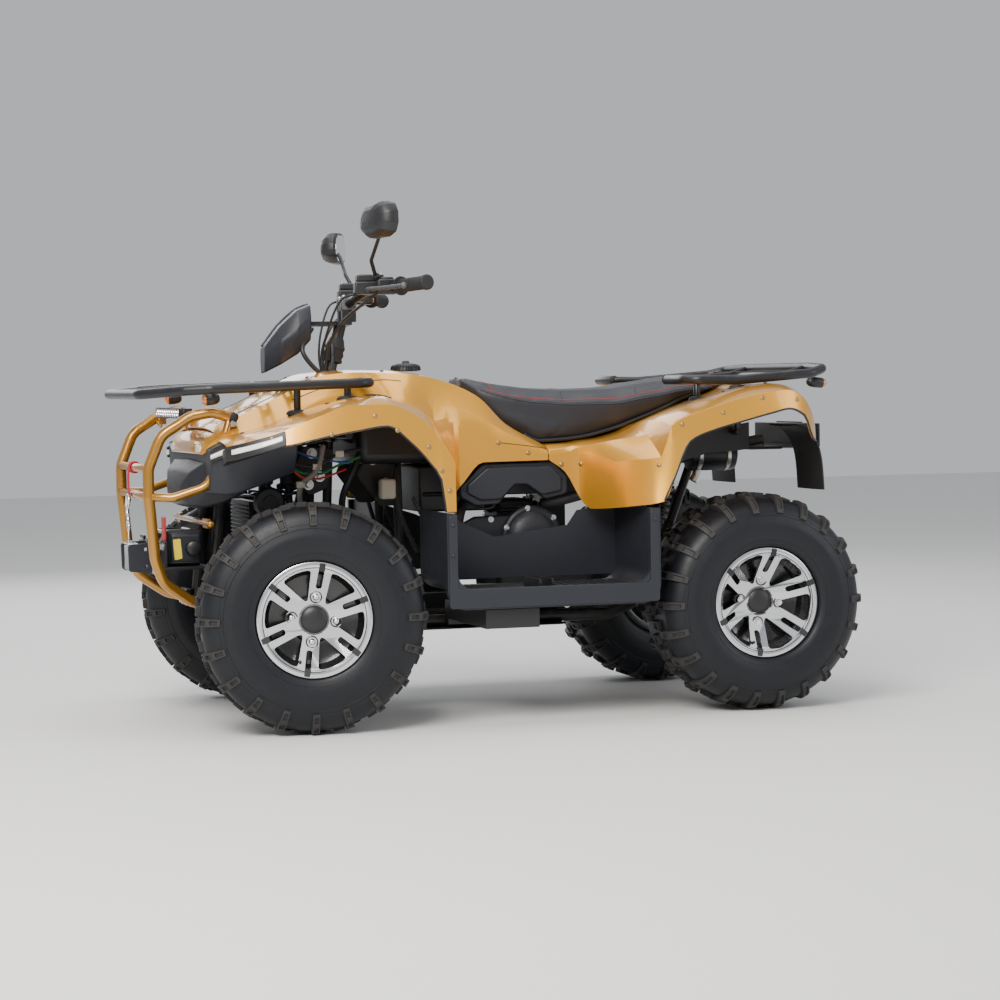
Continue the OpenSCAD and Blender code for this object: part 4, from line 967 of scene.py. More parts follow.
RACK_FRONT = [(1010, 246, 860), (1010, 336, 860), (1034, 360, 859), (1420, 360, 849), (1478, 330, 846),
              (1573, 225, 838)]
RACK_REAR = [(166, 205, 856), (166, 330, 856), (140, 360, 855), (37, 360, 852), (-180, 360, 868),
             (-225, 332, 880), (-238, 205, 884)]
FRONT_SLATS = ((1190, 855), (1255, 853), (1340, 851), (1425, 849))
REAR_SLATS = ((-90, 861), (-150, 865), (-202, 874))
for end, line, slats in (("front", RACK_FRONT, FRONT_SLATS), ("rear", RACK_REAR, REAR_SLATS)):
    rim_line = fillet(mirrored(line), 34, n=7)
    add("rack_%s_rim" % end, sweep(rim_line, 12.5, 18, dome=0.5), POWDER, node="rack_" + end, smooth=50)
    add("rack_%s_slats" % end, [slat(x, z) for x, z in slats], POWDER, bevel=0.9, smooth=30)
rods, posts = [], []
for s in (1, -1):
    rods.append(sweep([(1182, s * 120, 859), (1420, s * 120, 852), (1573, s * 115.2, 842)], 7.5, 12))
    rods.append(sweep([(1012, s * 246, 860), (1190, s * 246, 858)], 7, 12))
    for x in FRONT_POSTS:
        y = s * POST_Y
        posts.append(sweep([(x, y, 722), (x, y, 846), (x, y, 856)], [9, 9, 11], 16))
        posts.append(sweep([(x, y, 852), (x, s * 352, 856)], 6, 12))
add("rack_front_rods", rods, POWDER, smooth=50)
add("rack_front_posts", posts, POWDER, smooth=50)
rods = []
for s in (1, -1):
    line = ((166, 856), (140, 855), (37, 852), (-180, 868), (-236, 884))
    rods.append(sweep([(x, s * 196, z) for x, z in line], 7.5, 12))
    for x in REAR_POSTS:
        y = s * POST_Y
        rods.append(sweep([(x, y, 724), (x, y, 846)], 9, 16))
        rods.append(sweep([(x, y, 846), (x, s * 350, 853)], 6, 12))
        rods.append(sweep([(x, y, 846), (x, s * 200, 852)], 6, 12))
add("rack_rear_rods", rods, POWDER, smooth=50)
spots = [(x, 861) for x in FRONT_POSTS] + [(x, 853) for x in REAR_POSTS]
spots = [((x, s * POST_Y, z), (0, 0, 1)) for x, z in spots for s in (1, -1)]
bolts("rack_bolts", spots, STEEL, hexed=True, r=5, h=3)
ends = [sweep([(x, s * y, z), (x, s * (y - 7), z)], 13, 16) for x, y, z in ((1010, 247, 860), (166, 206, 856))
        for s in (1, -1)]
add("rack_end_caps", ends, RUBBER, smooth=50)


# ---- bull bar ----
BAR_X = 1548  # its foremost tubes
BAR = [(1338, 236, 775), (1388, 226, 792), (1440, 214, 782), (1515, 204, 735), (BAR_X, 200, 652),
       (BAR_X, 200, 583), (1534, 196, 426), (1512, 188, 366), (1440, 165, 316), (1398, 140, 306)]
LOOP = [(BAR_X, 200, 583), (1490, 222, 580), (1410, 236, 606), (1384, 240, 648), (1346, 234, 777)]


def both_sides(mesh):
    """A left side's mesh and its mirror image."""
    return [moved(mesh, go) for _, _, go in SIDES]


add("bull_bar", both_sides(sweep(fillet(BAR, 60, n=7), 14, 18)), GOLD_TUBE, node="bumper", smooth=50)
loops = both_sides(sweep(fillet(LOOP, 45, n=7), 11, 16))
loops += [sweep([(BAR_X, -198, z), (BAR_X, 198, z)], 11, 16) for z in (652, 583)]
add("bull_bar_loops", loops, GOLD_TUBE, smooth=50)
add("bull_bar_caps", both_sides(sweep([(1344, 235, 778), (1333, 237, 772)], 15.5, 16)), RUBBER, smooth=50)
slots = [rect(1404, y, 1492, y + 46, 10) for y in (-176, 130)]
base = [facing_z(plate([rect(1392, -188, 1506, 188)] + slots, -3, 3), 401)]
ears = both_sides(box((1500, 122, 400), (1506, 178, 470)))
ears += both_sides(box((1391, 78, 284), (1403, 165, 328)))
add("winch_plate", base + ears, POWDER, bevel=1.2, smooth=30)
spots = [((1403, s * y, z), (1, 0, 0)) for s in (1, -1) for y in (95, 148) for z in (296, 316)]
spots += [((1341, s * 243, 764), (0, s, 0)) for s in (1, -1)]
spots += [((1506, s * 150, 455), (1, 0, 0)) for s in (1, -1)]
bolts("bull_bar_bolts", spots, STEEL, hexed=True, r=7, h=4)
stay = [sweep([(1398, -232, 512), (1398, 232, 512)], 8, 14)]
stay += both_sides(box((1394, 150, 500), (1404, 200, 524)))
add("cross_stay", stay, GOLD_TUBE, bevel=0.8, smooth=50)
add("red_plate", box((1500, 128, 470), (1505, 168, 530)), RED, bevel=1.5)


# ---- winch, fairlead, hook ----
DRUM = (1447, 0, 450)
ROPE_R, ROPE_TURNS = 2.9, 24
HOOK_X = 1566
gearbox = [box((1401, 86, 405), (1493, 128, 495)), box((1408, 128, 412), (1486, 149, 488))]
add("winch_gearbox", gearbox, CHARCOAL, node="winch", bevel=9, seg=4, smooth=30)
motor = [[(37, -149), (38, -146), (38, -98), (34, -96), (34, -90)]]
motor += [[(36, y), (38.6, y + 1), (38.6, y + 3), (36, y + 4)] for y in (-142, -134, -126, -118)]
motor.append([(0.3, -149.6), (20, -149.6), (37, -149)])
add("winch_motor", [lathe(profile, 48, centre=DRUM) for profile in motor], CHARCOAL, smooth=35)
turns = [(c, s) for _ in range(ROPE_TURNS) for c, s in around(16)]
rope = [(DRUM[0] + 28 * c, -66 + 146 * k / len(turns), DRUM[2] + 28 * s) for k, (c, s) in enumerate(turns)]
add("winch_rope", sweep(rope, ROPE_R, 6, dome=0.2), STEEL, smooth=60)
cheek = circle(DRUM[0], DRUM[2], 42, 40)
drum = [lathe([(26, -72), (26, 86)], 32, centre=DRUM), plate([cheek], -80, -70), plate([cheek], 80, 88)]
add("winch_drum", drum, BLACK, bevel=1, smooth=35)
ties = [sweep([(x, -92, z), (x, 88, z)], 5, 10) for x, z in ((1408, 486), (1486, 486), (1408, 414))]
add("winch_ties", ties, STEEL, smooth=50)
knob = [(20, 149), (20, 153), (17, 160), (17, 166), (12, 169), (0.3, 169)]
add("winch_knob", lathe(knob, 28, centre=(1430, 0, DRUM[2])), BLACK)
label = rounded([(1457, 424), (1476, 420), (1480, 472), (1461, 474)], 3)
add("winch_blank_label", plate([label], 149, 150.2), YELLOW, smooth=30)
holes = [circle(y, z, 4.5, 16) for y in (-58, 58) for z in (388, 422, 456)]
face = plate([rect(-70, 378, 70, 466, 8), rect(-42, 398, 42, 448, 6)] + holes, -2.5, 2.5)
fairlead = [facing_x(face, 1508.5)]
cheek = [rounded([(1508, 382), (1576, 388), (1578, 456), (1508, 462)], 8)]
cheek += [circle(1532, z, 5, 16) for z in (400, 444)]
fairlead += [plate(cheek, y, y + 4) for y in (-56, 52)]
add("fairlead_plate", fairlead, CHARCOAL, node="fairlead", bevel=0.9, smooth=30)
upright = [(0.3, 389), (8, 389), (13, 391), (12.2, 422), (13, 453), (8, 455), (0.3, 455)]
level = [(0.3, -50), (8.6, -50), (9, -46), (8.4, 0), (9, 46), (8.6, 50), (0.3, 50)]
rollers = [lathe(upright, 32, "z", (1562, y, 0)) for y in (-18, 18)]
rollers += [lathe(level, 28, "y", (1532, 0, z)) for z in (400, 444)]
add("fairlead_rollers", rollers, CHROME, smooth=50)
brackets = [box((1549, -46, z), (1575, 46, z + 3)) for z in (385.4, 455.6)]
add("fairlead_brackets", brackets, STEEL, bevel=1, smooth=30)
spots = [((1562, y, 458.5), (0, 0, 1)) for y in (-18, 18)]
spots += [((1511, y, z), (1, 0, 0)) for y in (-58, 58) for z in (388, 456)]
bolts("fairlead_bolts", spots, STEEL, hexed=True, r=5.5, h=3.5)
line = fillet([(1461.6, 0, 476.6), (1530, 0, 422), (1560, 0, 422), (HOOK_X, 0, 432), (HOOK_X, 0, 504)], 10)
add("winch_line", sweep(line, 3, 10), STEEL, node="winch_hook", smooth=60)
shape = ((0, 506), (0, 520), (-12, 532), (-17, 552), (-6, 576), (8, 582), (16, 568), (13, 556))
line = fillet([(HOOK_X, y, z) for y, z in shape], 12, n=6)
hook = [sweep(line, [4.5] + [5.5] * (len(line) - 6) + [5, 4.6, 4.2, 3.8, 3.2], 12),
        sweep([(HOOK_X, 9 * c, 500 + 9 * s) for c, s in around(24)], 3.6, 10, closed=True),
        sweep([(HOOK_X, 14, 556), (HOOK_X, -2, 546), (HOOK_X, -14, 544)], 2, 8)]
add("winch_hook_body", hook, CHROME, smooth=60)
strap = []
for k in range(14):
    x, z = 1562 + 2.2 * math.sin(3 * k / 13), 574 + 80 * k / 13
    strap.append([(x - 1.5, -10, z), (x + 1.5, -10, z), (x + 1.5, 10, z), (x - 1.5, 10, z)])
add("winch_strap", loft(strap), WEB, smooth=30, bevel=0.6)
wraps = [[(BAR_X + 13.5 * c, y, 652 + 13.5 * s) for c, s in around(20)] for y in (-8, -4, 0, 4, 8)]
add("strap_loop", [sweep(line, 2.2, 6, closed=True) for line in wraps], WEB, smooth=60)


# ---- light bar and indicators ----
LIGHT_Z = 789
cells = [(0, -142 + 31.5 * k, LIGHT_Z) for k in range(10)]
body = [box((1426, -159, 777), (1448, 159, 801))]
body += [box((1424, -150 + 15 * k, 778), (1427, -146 + 15 * k, 800)) for k in range(20)]
add("light_bar_body", body, BLACK, node="light_bar", bevel=1.2, smooth=30)
cell = [(12, 1458), (11, 1461), (10, 1458), (3, 1450), (0.3, 1450)]
add("light_bar_cells", [lathe(cell, 20, "x", at) for at in cells], CHROME)
add("light_bar_backing", facing_x(plate([rect(-158, 778, 158, 800, 3)], -1, 1), 1449), CHROME, bevel=0.4)
bezel = plate([rect(-160, 776, 160, 802, 4), rect(-156, 779, 156, 799, 3)], -6, 6)
add("light_bar_bezel", facing_x(bezel, 1455), BLACK, bevel=0.8)
led = [(0.3, 1453), (4, 1452.6), (5, 1450)]
add("light_bar_leds", [lathe(led, 12, "x", at) for at in cells], LENS, smooth=50)
feet = [box((1436, s * 150 - 6, 758), (1454, s * 150 + 6, 778)) for s in (1, -1)]
feet += both_sides(sweep([(1445, 150, 770), (1445, 180, 752), (1452, 212, 772)], 4.5, 8))
add("light_bar_feet", feet, GOLD_TUBE, bevel=1.2)
# Each: its base, its tip, the body's profile, the lens's and the stalk.
INDICATORS = {
    "front": ((1374, 250, 826), (1420, 250, 822),
              [(2, 0), (9, 2), (13.5, 9), (15, 20), (15, 34), (14, 37)],
              [(14, 36), (13.6, 40), (10, 44), (0.3, 45.8)],
              [(1390, 250, 824), (1392, 262, 836), (1394, 280, 846)]),
    "rear": ((-196, 292, 846), (-252, 292, 840),
             [(2, 0), (8, 2), (12.5, 9), (14, 20), (14, 42), (13, 45)],
             [(13.2, 44), (12.8, 49), (9, 53.5), (0.3, 55.8)],
             [(-210, 292, 850), (-212, 288, 862), (-208, 280, 872)])}
for s, w, go in SIDES:
    for end, (base, tip, shell, lens, stalk) in INDICATORS.items():
        axis = Vector(tip) - Vector(base)
        made = [aimed(lathe(shell, 28, "x"), base, axis, (1, 0, 0)), sweep(stalk, 5, 10)]
        node = left_only(s, "lamps") if end == "front" else None
        add("indicator_%s_%s" % (end, w), made, BLACK, node=node, go=go, smooth=45)
        lens = aimed(lathe(lens, 28, "x"), base, axis, (1, 0, 0))
        add("indicator_lens_%s_%s" % (end, w), lens, ORANGE, go=go, smooth=60)
add("tail_lamp", box((-291, -79, 669), (-271, 79, 729)), RED_LENS, bevel=7, seg=4)
ribs = [box((-292, -70 + 10 * k, 675), (-290, -66 + 10 * k, 723)) for k in range(15)]
add("tail_lamp_ribs", ribs, RED_LENS, bevel=0.6)
bezel = facing_x(plate([rect(-86, 662, 86, 736, 10), rect(-76, 672, 76, 726, 6)], -3, 3), -274)
add("tail_lamp_bezel", moved(bezel, lambda p: V(p.x, p.y, max(p.z, 666))), BLACK, bevel=1)


# ---- lamp strips under the gold lips, and the beak between them ----
STRIP_X = (1258, 1386)
front_up = sorted(FRONT)


def front_at(x, corner):
    """(y, z) of one of the front body's corners at x; 1 is the lip and 2 the crease over it."""
    xs, x = [s[0] for s in front_up], min(x, front_up[-1][0])
    return [monotone(xs, [s[corner][k] for s in front_up], [x])[0] for k in (0, 1)]


house, lens = [], []
for k in range(16):
    x = STRIP_X[0] + (STRIP_X[1] - STRIP_X[0]) * k / 15
    (low_y, low_z), (high_y, high_z) = front_at(x, 1), front_at(x, 2)
    top = high_z - 1

    def out(down):
        """How far out the gold side is, this far below the crease."""
        share = min(1.0, max(0.0, (down + 1) / max(high_z - low_z, 1)))
        return high_y + (low_y - high_y) * share + 2.6
    house.append([(x, out(0), top), (x, out(18) + 1.5, top - 18), (x, out(36), top - 36), (x, 325, top - 50),
                  (x, 325, top - 12)])
    if 1264 < x < 1378:
        lens.append([(x, out(10) - 3, top - 8), (x, out(12) + 3.4, top - 11), (x, out(20) + 3.8, top - 20),
                     (x, out(24) - 3, top - 24)])
corner = rounded([(150, 690), (196, 692), (196, 706), (150, 710)], 5)
nose_lens = moved(plate([corner], -2, 3), lambda p: V(1416 + p.y + 0.06 * (150 - p.x), p.x, p.z))
for s, w, go in SIDES:
    add("lamp_housing_" + w, loft(house), BLACK, go=go, bevel=2, seg=3, smooth=30)
    add("lamp_strip_" + w, loft(lens), LENS, go=go, bevel=1.2, seg=3, smooth=30)
    add("nose_lens_" + w, nose_lens, LENS, go=go, bevel=1.5, seg=3)
# Rings of the gold cap: x, half width, top, bottom; and of the beak under it: x, half width, edge, bottom.
CAP_RINGS = ((1340, 246, 752, 728), (1375, 238, 742, 712), (1400, 222, 728, 694), (1412, 204, 712, 684),
             (1416, 190, 704, 688))
BEAK_RINGS = ((1300, 262, 640, 590), (1360, 240, 650, 560), (1404, 206, 668, 548), (1436, 150, 640, 556),
              (1448, 96, 606, 566))
rings = []
for x, half, top, low in CAP_RINGS:
    left = [(x, half, low), (x, half + 3, (top + low) / 2), (x, half - 14, top), (x, half * 0.5, top + 5)]
    rings.append(left + [(x, 0, top + 7)] + [flip(p) for p in left[::-1]])
add("nose_cap", loft(rings), GOLD, bevel=3.5, seg=3, smooth=35)
beak = [[(x, half, z), (x, half * 0.8, low), (x, 0, low - 4), (x, -half * 0.8, low), (x, -half, z),
         (x, 0, z + 6)] for x, half, z, low in BEAK_RINGS]
add("nose_beak", loft(beak), CHARCOAL, bevel=7, seg=3, smooth=30)


# ---- tail tray, mud flaps, side covers, footwells, fuel cap ----
half = [(-156, 104), (-64, 114), (-64, 212), (-160, 212), (-160, 108), (-266, 108)]
outline = [(x, -y) for x, y in half[::-1]] + half
tray = [facing_z(plate([outline], -4, 4), 670), box((-269, -215, 670), (-262, 215, 733))]
tray += [box((-262, y - 3, 664), (-160, y + 3, 676)) for y in (-80, -40, 0, 40, 80)]
add("tail_tray_shell", tray, BLACK, node="tail_tray", bevel=2.5, smooth=30)
FLAP = smooth_line([(-120, 0, 736), (-158, 0, 722), (-184, 0, 690), (-198, 0, 640), (-204, 0, 562)], 6)
flap = []
for i, p in enumerate(FLAP):
    t = (FLAP[min(i + 1, len(FLAP) - 1)] - FLAP[max(i - 1, 0)]).normalized()
    curve = ((217, 0), (217, 4), (250, 6), (300, 7), (350, 6), (383, 4), (383, 0), (300, 1))
    flap.append([V(p.x, y, p.z) + V(-t.z, 0, t.x) * bulge for y, bulge in curve])
LINER = ((400, 650, 600), (300, 660, 560), (200, 690, 620), (60, 720, 660), (-60, 740, 668))
liner = [[(x, 216, z), (x, 222, z), (x, 222, low), (x, 216, low)] for x, z, low in LINER]
COVER = [(740, 588), (678, 646), (484, 648), (448, 610), (449, 562), (509, 550), (556, 587), (594, 588),
         (637, 540), (698, 537), (740, 561)]
raised = [(594 + (x - 594) * 0.88, 600 + (z - 600) * 0.78) for x, z in COVER]
cover = [plate([rounded(COVER[::-1], 16)], 186, 206), plate([rounded(raised[::-1], 12)], 203, 213.5)]
BAND = [(304, 298), (858, 298), (858, 529), (836, 529), (836, 346), (328, 346), (328, 529), (304, 529)]
ribs = [box((x, 225, 335.5), (x + wide, 470, 339))
        for x, wide in [(344 + 26 * k, 8) for k in range(9)] + [(770 + 16 * k, 7) for k in range(4)]]
teeth = [(330 + 125 * k / 20 + (3 if k % 2 else 0), 361 if k % 2 else 352) for k in range(21)]
teeth = [(330, 340)] + teeth + [(455, 340)]
pegs = [moved(plate([teeth[::-1]], x - 2.5, x + 2.5), lambda p: V(p.y, p.x, p.z)) for x in (575, 608)]
for s, w, go in SIDES:
    add("mud_flap_" + w, loft(flap), RUBBER, go=go, bevel=0.8)
    add("inner_fender_" + w, loft(liner), BLACK, go=go, bevel=1.5)
    add("side_cover_" + w, cover, CHARCOAL, node=left_only(s, "side_covers"), go=go, bevel=4.5, seg=4,
        smooth=30)
    spots = [((x, 206, z), (0, 1, 0)) for x, z in ((466, 600), (728, 580), (660, 640))]
    bolts("side_cover_screws_" + w, spots, BLACK, go=go, r=5, h=2.5)
    band = plate([rounded(BAND, 9)], 491.5, 495.5)
    add("footwell_band_" + w, band, CHARCOAL, go=go, bevel=1.6, seg=3, smooth=30)
    add("footwell_ribs_" + w, ribs, CHARCOAL, go=go, bevel=1.2)
    add("peg_teeth_" + w, pegs, BLACK, go=go, bevel=0.5)
    spots = [((x, 496, z), (0, 1, 0)) for x, z in ((316, 505), (848, 505), (848, 430))]
    spots += [((x, 470, 339), (0, 0, 1)) for x in (360, 800)]
    bolts("footwell_screws_" + w, spots, BLACK, go=go, r=5, h=2.6)
CAP_X = 824
cap_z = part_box("fuel_cap")[0][2] * 1000
dome = [(0.3, 26), (7, 26), (9, 24), (12, 20), (30, 17), (36, 12), (38, 6), (39.5, 0), (30, -2)]
add("fuel_cap_dome", lathe(dome, 64, "z", (CAP_X, 0, cap_z)), BLACK, node="fuel_cap")
ribs = [[(CAP_X + r * c, r * s, cap_z + h) for r, h in ((39, 1), (38, 9), (34, 14))] for c, s in around(28)]
add("fuel_cap_ribs", [sweep(line, 1.5, 6) for line in ribs], BLACK, smooth=50)


# ---- engine and what shows around it ----
COVER_X, COVER_Z = 530, 450  # middle of the drive cover's round end
case = [box((345, -140, 256), (500, 108, 400)), box((420, -120, 300), (606, 90, 430))]
add("crankcase", case, ENGINE, node="engine", bevel=16, seg=4, smooth=35)
fins = [box((486 - 2 * k, -92, 432 + 9.2 * k), (604 - 2 * k, 64, 436 + 9.2 * k)) for k in range(11)]
add("cylinder_fins", fins, CAST, bevel=1.4)
head = [box((492, -80, 430), (590, 50, 545)), box((470, -62, 512), (604, 34, 540))]
add("cylinder_head", head, ENGINE, bevel=9, seg=3)
spots = [((x, 108, z), (0, 1, 0)) for x, z in ((356, 268), (420, 264), (490, 300), (356, 388), (470, 392))]
spots += [((x, y, 540), (0, 0, 1)) for x in (482, 592) for y in (-50, 22)]
bolts("engine_bolts", spots, STEEL, hexed=True, r=6, h=4)
tail = [(532, 432), (680, 434), (716, 452), (716, 488), (680, 506), (532, 508)]
cover = [plate([circle(COVER_X, COVER_Z, 82, 64)], 118.5, 152), plate([rounded(tail, 16)], 118.5, 146)]
add("drive_cover", cover, CHARCOAL, node="engine_cover", bevel=5, seg=3, smooth=35)
dome = [(81, 150), (80, 156), (74, 160), (66, 158), (60, 166), (52, 172), (36, 177), (20, 179), (0.3, 179.6)]
add("drive_cover_dome", lathe(dome, 72, centre=(COVER_X, 0, COVER_Z)), CHARCOAL, smooth=30)
fins = [[(COVER_X + r * c, y, COVER_Z + r * s) for r, y in ((24, 177), (56, 168))] for c, s in around(14)]
add("drive_cover_fins", [sweep(line, 2.2, 8) for line in fins], CHARCOAL, smooth=50)
spots = [((COVER_X + 76 * c, 158, COVER_Z + 76 * s), (0, 1, 0)) for c, s in around(6, math.radians(20))]
spots += [((x, 146, z), (0, 1, 0)) for x, z in ((620, 444), (700, 470), (640, 498))]
bolts("drive_cover_bolts", spots, STEEL, hexed=True, r=5, h=3.2)
# Name, radius, finish, whether the right side has one too, and the route.
HOSES = (
    ("intake_hose", 13, BLACK, False,
     [(600, 20, 520), (650, 60, 560), (700, 100, 540), (720, 110, 470), (700, 90, 400)]),
    ("radiator_hose", 9, BLACK, False,
     [(980, 140, 700), (1010, 160, 640), (1040, 150, 560), (1020, 120, 480), (960, 110, 420)]),
    ("breather_hose", 7, GREY_HOSE, True,
     [(1100, 200, 700), (1120, 210, 640), (1160, 200, 600), (1150, 170, 540), (1100, 150, 520)]),
    ("loom_a", 4.5, BLACK, True,
     [(1200, 180, 700), (1180, 205, 660), (1120, 205, 650), (1060, 200, 680), (1000, 190, 690)]),
    ("loom_b", 3.2, GREEN, False,
     [(1205, 170, 690), (1170, 198, 640), (1110, 196, 630), (1060, 190, 650), (1000, 182, 670)]),
    ("loom_c", 2.6, RED, False,
     [(1210, 176, 685), (1165, 206, 628), (1115, 204, 618), (1040, 196, 640)]),
    ("loom_d", 2.6, BLUE, False,
     [(1195, 172, 705), (1150, 196, 680), (1090, 200, 664), (1030, 190, 655)]),
    ("loom_e", 6, BLACK, True,
     [(880, 130, 660), (900, 150, 600), (880, 150, 500), (840, 140, 420)]),
    ("brake_hose", 5, BLACK, True,
     [(860, 180, 560), (820, 190, 480), (790, 188, 440), (760, 170, 430)]),
    ("throttle_cable", 4, BLACK, False,
     [(740, 170, 600), (700, 176, 540), (650, 178, 530), (620, 150, 560)]))
for name, r, mat, twice, route in HOSES:
    for s, w, go in SIDES[:2 if twice else 1]:
        hose = sweep(smooth_line([go(p) for p in route], 8), r, 12, dome=0.5)
        add("%s_%s" % (name, w), hose, mat, smooth=60)
spots = ((1108, 200, 640), (1048, 196, 672), (1150, 196, 596))
add("connectors", [box((x, y, z), (x + 22, y + 14, z + 16)) for x, y, z in spots], CREAM, bevel=2)
add("coolant_bottle", box((905, 150, 560), (945, 186, 612)), CREAM, bevel=8, seg=4)
horn = [(38, 180), (40, 184), (40, 192), (34, 198), (20, 200), (18, 204), (0.3, 204)]
add("horn_disc", lathe(horn, 40, centre=(1240, 0, 560)), BLACK, smooth=35)
battery = [box((640, -120, 520), (820, 100, 640)), box((648, -126, 560), (812, 106, 572))]
add("battery_box", battery, BLACK, bevel=6, seg=3)
add("fuel_tank", box((700, -170, 650), (1000, 170, 760)), BLACK, bevel=24, seg=4)
airbox = [box((380, -120, 560), (600, 110, 650)), box((376, -124, 596), (604, 114, 606))]
add("airbox", airbox, BLACK, bevel=12, seg=3)
GUSSETS = ([(880, 640), (960, 690), (990, 620), (930, 540), (880, 540)],
           [(1050, 690), (1130, 700), (1160, 640), (1120, 570), (1070, 590)])
gussets = [plate([rounded(outline, 14)], 111, 117) for outline in GUSSETS]
add("frame_gussets", gussets + [moved(g, flip) for g in gussets], FRAME, bevel=1.4)
spots = ((915, 600), (950, 660), (1090, 620), (1110, 680), (1120, 600))
spots = [((x, s * 117, z), (0, s, 0)) for s in (1, -1) for x, z in spots]
bolts("gusset_bolts", spots, STEEL, hexed=True, r=9, h=6)
skid = [(430, -150), (1280, -150), (1340, -90), (1340, 90), (1280, 150), (430, 150)]
add("skid_plate", facing_z(plate([rounded(skid, 30)], -1.5, 1.5), 217.4), FRAME, bevel=0.8)
fins = [box((1275, -104, 386 + 10 * k), (1279, 104, 390 + 10 * k)) for k in range(17)]
add("radiator", [box((1245, -110, 380), (1275, 110, 560))] + fins, BLACK, bevel=1.5)


# ---- shocks and exhaust ----
def shock(name, a, b, r, node=None, turns=9):
    """A coil-over shock from its lower eye to its upper one; r is its spring seats' radius."""
    axis = Vector(b) - Vector(a)
    long = axis.length
    s0, s1 = long * 0.20, long * 0.80
    coil = [(r - 5) * V(math.cos(t), math.sin(t), 0) + V(0, 0, s0 + (s1 - s0) * t / (2 * math.pi * turns))
            for t in [2 * math.pi * k / 20 for k in range(turns * 20 + 1)]]
    q = V(0, 0, 1).rotation_difference(axis.normalized())
    spring = sweep([q @ p + Vector(a) for p in coil], 4.8, 10)
    add(name + "_spring", spring, POWDER, node=node, smooth=60)
    damper = [(0.3, 6), (9, 8), (9, s0 - 8), (r, s0 - 6), (r, s0 - 1), (14, s0), (14, long * 0.45),
              (9, long * 0.46), (9, s1), (r, s1 + 1), (r, s1 + 6), (20, s1 + 9), (20, long - 20),
              (9, long - 10), (0.3, long - 8)]
    add(name + "_damper", aimed(lathe(damper, 32, "z"), a, axis), CHARCOAL, smooth=35)


for s, w, go in SIDES:
    shock("shock_front_" + w, go((1182, 267, 221)), go((1182, 125, 692)), 30, left_only(s, "shocks"))
shock("shock_rear", (150, 0, 372), (90, 0, 644), 34)
can = [(0.3, -46), (24, -46), (42, -38), (44, -30), (44, 80), (42, 88), (24, 96), (0.3, 96)]
can = moved(lathe(can, 40, "x"), lambda p: V(p.x, 153 + p.y * 0.95, 656 + p.z))
add("muffler_can", can, POWDER, node="muffler", smooth=35)
bands = [[(43, x), (45, x + 2), (45, x + 10), (43, x + 12)] for x in (-20, 60)]
add("muffler_bands", [lathe(band, 40, "x", (0, 153.5, 656)) for band in bands], STEEL, smooth=35)
outlet = fillet([(62, 154, 615), (66, 154, 600), (75, 154, 584)], 10)
add("muffler_outlet", sweep(outlet, 12, 20, dome=0), STEEL, smooth=50)
pipe = smooth_line([(92, 150, 650), (180, 130, 640), (280, 118, 600), (360, 100, 560), (470, 60, 530)], 6)
add("exhaust_pipe", sweep(pipe, 16, 16), CAST, smooth=60)


# ---- steering group, drawn straight ahead and turned to where it rests ----
GRIP = ((884, 250, 1094), (830, 388, 1095))  # from its inner end to its outer
grip_axis = Vector(GRIP[1]) - Vector(GRIP[0])
long = grip_axis.length
profile = [(13, 14), (23, 15), (24.5, 18), (23, 21), (17.6, 22)]
s = 24.0
while s < long - 14:
    profile += [(16.4, s), (17.4, s + 0.8), (17.4, s + 3.6), (16.4, s + 4.4)]
    s += 5.2
profile += [(17.4, long - 10), (19.5, long - 8), (19.5, long - 1), (16, long + 2), (0.3, long + 2.6)]
grip = aimed(lathe(profile, 32, "z"), GRIP[0], grip_axis)
switches = [box((882, 198, 1076), (933, 238, 1114)), box((890, 205, 1108), (920, 232, 1120))]
master = [box((902, 140, 1080), (983, 186, 1112)), box((908, 143, 1112), (978, 183, 1130))]
button = lathe([(6, -2), (6, 4), (5, 5.5), (0.3, 6)], 18, "x")
line = smooth_line([(950, 189.6, 1090), (954, 214, 1090), (944, 250, 1089), (920, 300, 1088),
                    (890, 372, 1088)], 6)
lever = [sweep(line, [6] * 6 + [5.6] * (len(line) - 6), 12), ball(8.5, (888, 376, 1088))]
MIRROR_AT, MIRROR_YAW = V(950, 435, 1246), math.radians(20)
# Rings of the housing from the glass forward: x, and the outline's scale there.
MIRROR_RINGS = ((936.5, 0.86), (937, 0.92), (941, 1), (950, 1), (962, 0.97), (972, 0.88), (980, 0.74),
                (985.5, 0.5))
MIRROR_SHAPE = rounded([(-74, -8), (-70, -26), (-40, -44), (30, -44), (62, -34), (74, -12), (73, 16),
                        (60, 36), (30, 44), (-36, 40), (-62, 26), (-73, 8)], 10, n=3)


def mirror_ring(x, scale):
    """The mirror's outline at x, scaled and turned with the mirror about its middle."""
    yaw = Matrix.Rotation(MIRROR_YAW, 3, "Z")
    return [MIRROR_AT + yaw @ V(x - MIRROR_AT.x, scale * y, scale * z) for y, z in MIRROR_SHAPE]


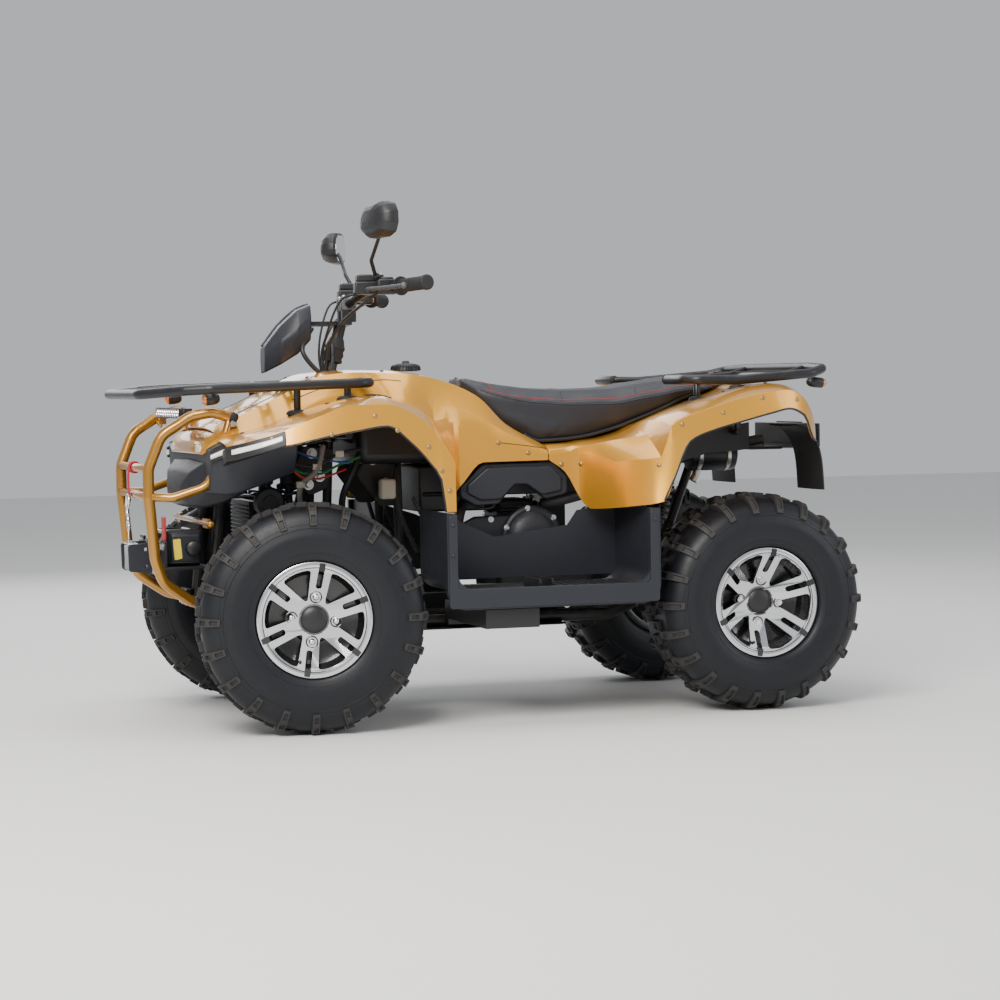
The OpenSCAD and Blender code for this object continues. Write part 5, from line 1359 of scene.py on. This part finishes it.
housing = loft([mirror_ring(x, scale * 0.995) for x, scale in MIRROR_RINGS])
glass = loft([mirror_ring(x, scale) for x, scale in ((936.2, 0.84), (935.4, 0.83))])
line = fillet([(933, 215, 1118), (950, 250, 1160), (945, 380, 1215), (952, 430, 1240)], 26, n=8)
mirror_stem = [sweep(line, 5, 12), ball(10, (933, 215, 1122))]
cable = smooth_line([(930, 200, 1080), (968, 160, 1050), (1010, 110, 1010), (1040, 60, 950),
                     (1046, 40, 880)], 8)
cable_b = smooth_line([(960, 150, 1082), (1010, 120, 1070), (1040, 80, 1000), (1052, 40, 930),
                       (1044, 30, 870)], 8)
for side, w, _ in SIDES:
    on = {"body": "steering", "go": hand(side)}
    add("grip_" + w, grip, RUBBER, node=left_only(side, "grips"), smooth=35, **on)
    add("switch_box_" + w, switches, BLACK, node=left_only(side, "controls"), bevel=5, seg=3, **on)
    add("brake_master_" + w, master, BLACK, bevel=4, seg=3, **on)
    bolts("master_screws_" + w, [((x, y, 1130), (0, 0, 1)) for x in (914, 972) for y in (150, 176)], STEEL,
          r=3.4, h=1.8, **on)
    for name, x, z, mat in (("button_red_", 884, 1104, RED), ("button_orange_", 883, 1088, ORANGE)):
        add(name + w, moved(button, lambda p: V(x - p.x, 218 + p.y, z + p.z)), mat, **on)
    add("lever_" + w, lever, CAST, node=left_only(side, "levers"), smooth=60, **on)
    add("mirror_shell_" + w, housing, BLACK, node=left_only(side, "mirrors"), smooth=30, bevel=2, **on)
    add("mirror_glass_" + w, glass, MIRROR, smooth=30, **on)
    add("mirror_stem_" + w, mirror_stem, BLACK, smooth=60, **on)
    add("cable_" + w, sweep(cable, 4, 10), BLACK, smooth=60, **on)
    add("cable_b_" + w, sweep(cable_b, 3, 10), BLACK, smooth=60, **on)
on = {"body": "steering", "go": turned}
clamps = [box((962, y, 1046), (1002, y + 26, 1083)) for y in (27, -53)]
add("bar_clamps", clamps, CAST, bevel=4, seg=3, **on)
spots = [((x, y, 1083), (0, 0, 1)) for x in (970, 994) for y in (40, -40)]
bolts("clamp_bolts", spots, STEEL, r=5, h=4, **on)
COWL = [(1205, 60, 885, 960), (1165, 96, 905, 1012), (1120, 104, 932, 1052), (1085, 92, 968, 1066)]
rings = []
for x, half, low, top in COWL:
    mid = (low + top) / 2
    right = [(0.3, top - 2), (0.80, top - 6), (0.98, mid + 10), (0.98, mid - 6), (0.78, low + 2)]
    rings.append([(x, -half * y, z) for y, z in right[::-1]] + [(x, half * y, z) for y, z in right])
add("cowl_shell", loft(rings), CHARCOAL, node="cowl", bevel=5, seg=3, smooth=30, **on)
ridge = smooth_line([(x, 0, top - 2) for x, _, _, top in COWL], 5)
add("cowl_ridge", sweep(ridge, 5, 10, flat=2.6), CHARCOAL, smooth=50, **on)
spots = [((1140, s * 70, 1022), (0.4, 0, 1)) for s in (1, -1)] + [((1186, 0, 986), (0.6, 0, 1))]
bolts("cowl_screws", spots, BLACK, r=7, h=3, **on)
line = smooth_line([(1080, 50, 1000), (1110, 90, 940), (1060, 84, 880), (1030, 40, 900), (1024, 20, 960)], 10)
add("cable_loop", sweep(line, 6, 12), BLACK, smooth=60, **on)
boot = [(20, -80), (27, -76), (24, -66), (27, -58), (24, -48), (27, -40), (23, -30), (20, -20), (17.5, -14)]
boot = aimed(lathe([(r, h - 20) for r, h in boot], 32, "z"), STEM_TOP, STEM_DIR)
add("stem_boot", boot, RUBBER, **on)

# ---- CAD nodes that stay, each with a finish of its own ----
KEEP = {"frame_rails": FRAME, "frame_ties": FRAME, "footwell_left": CHARCOAL, "footwell_right": CHARCOAL,
        "foot_pegs": BLACK, "front_arms": POWDER, "swing_arm": POWDER, "handlebar": POWDER,
        "steering_stem": POWDER, "knuckle_left": CAST, "knuckle_right": CAST, "tie_rod_left": STEEL,
        "tie_rod_right": STEEL, "rear_axle": STEEL}
for name, mat in KEEP.items():
    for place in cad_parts[name].material_slots:
        place.material = mat
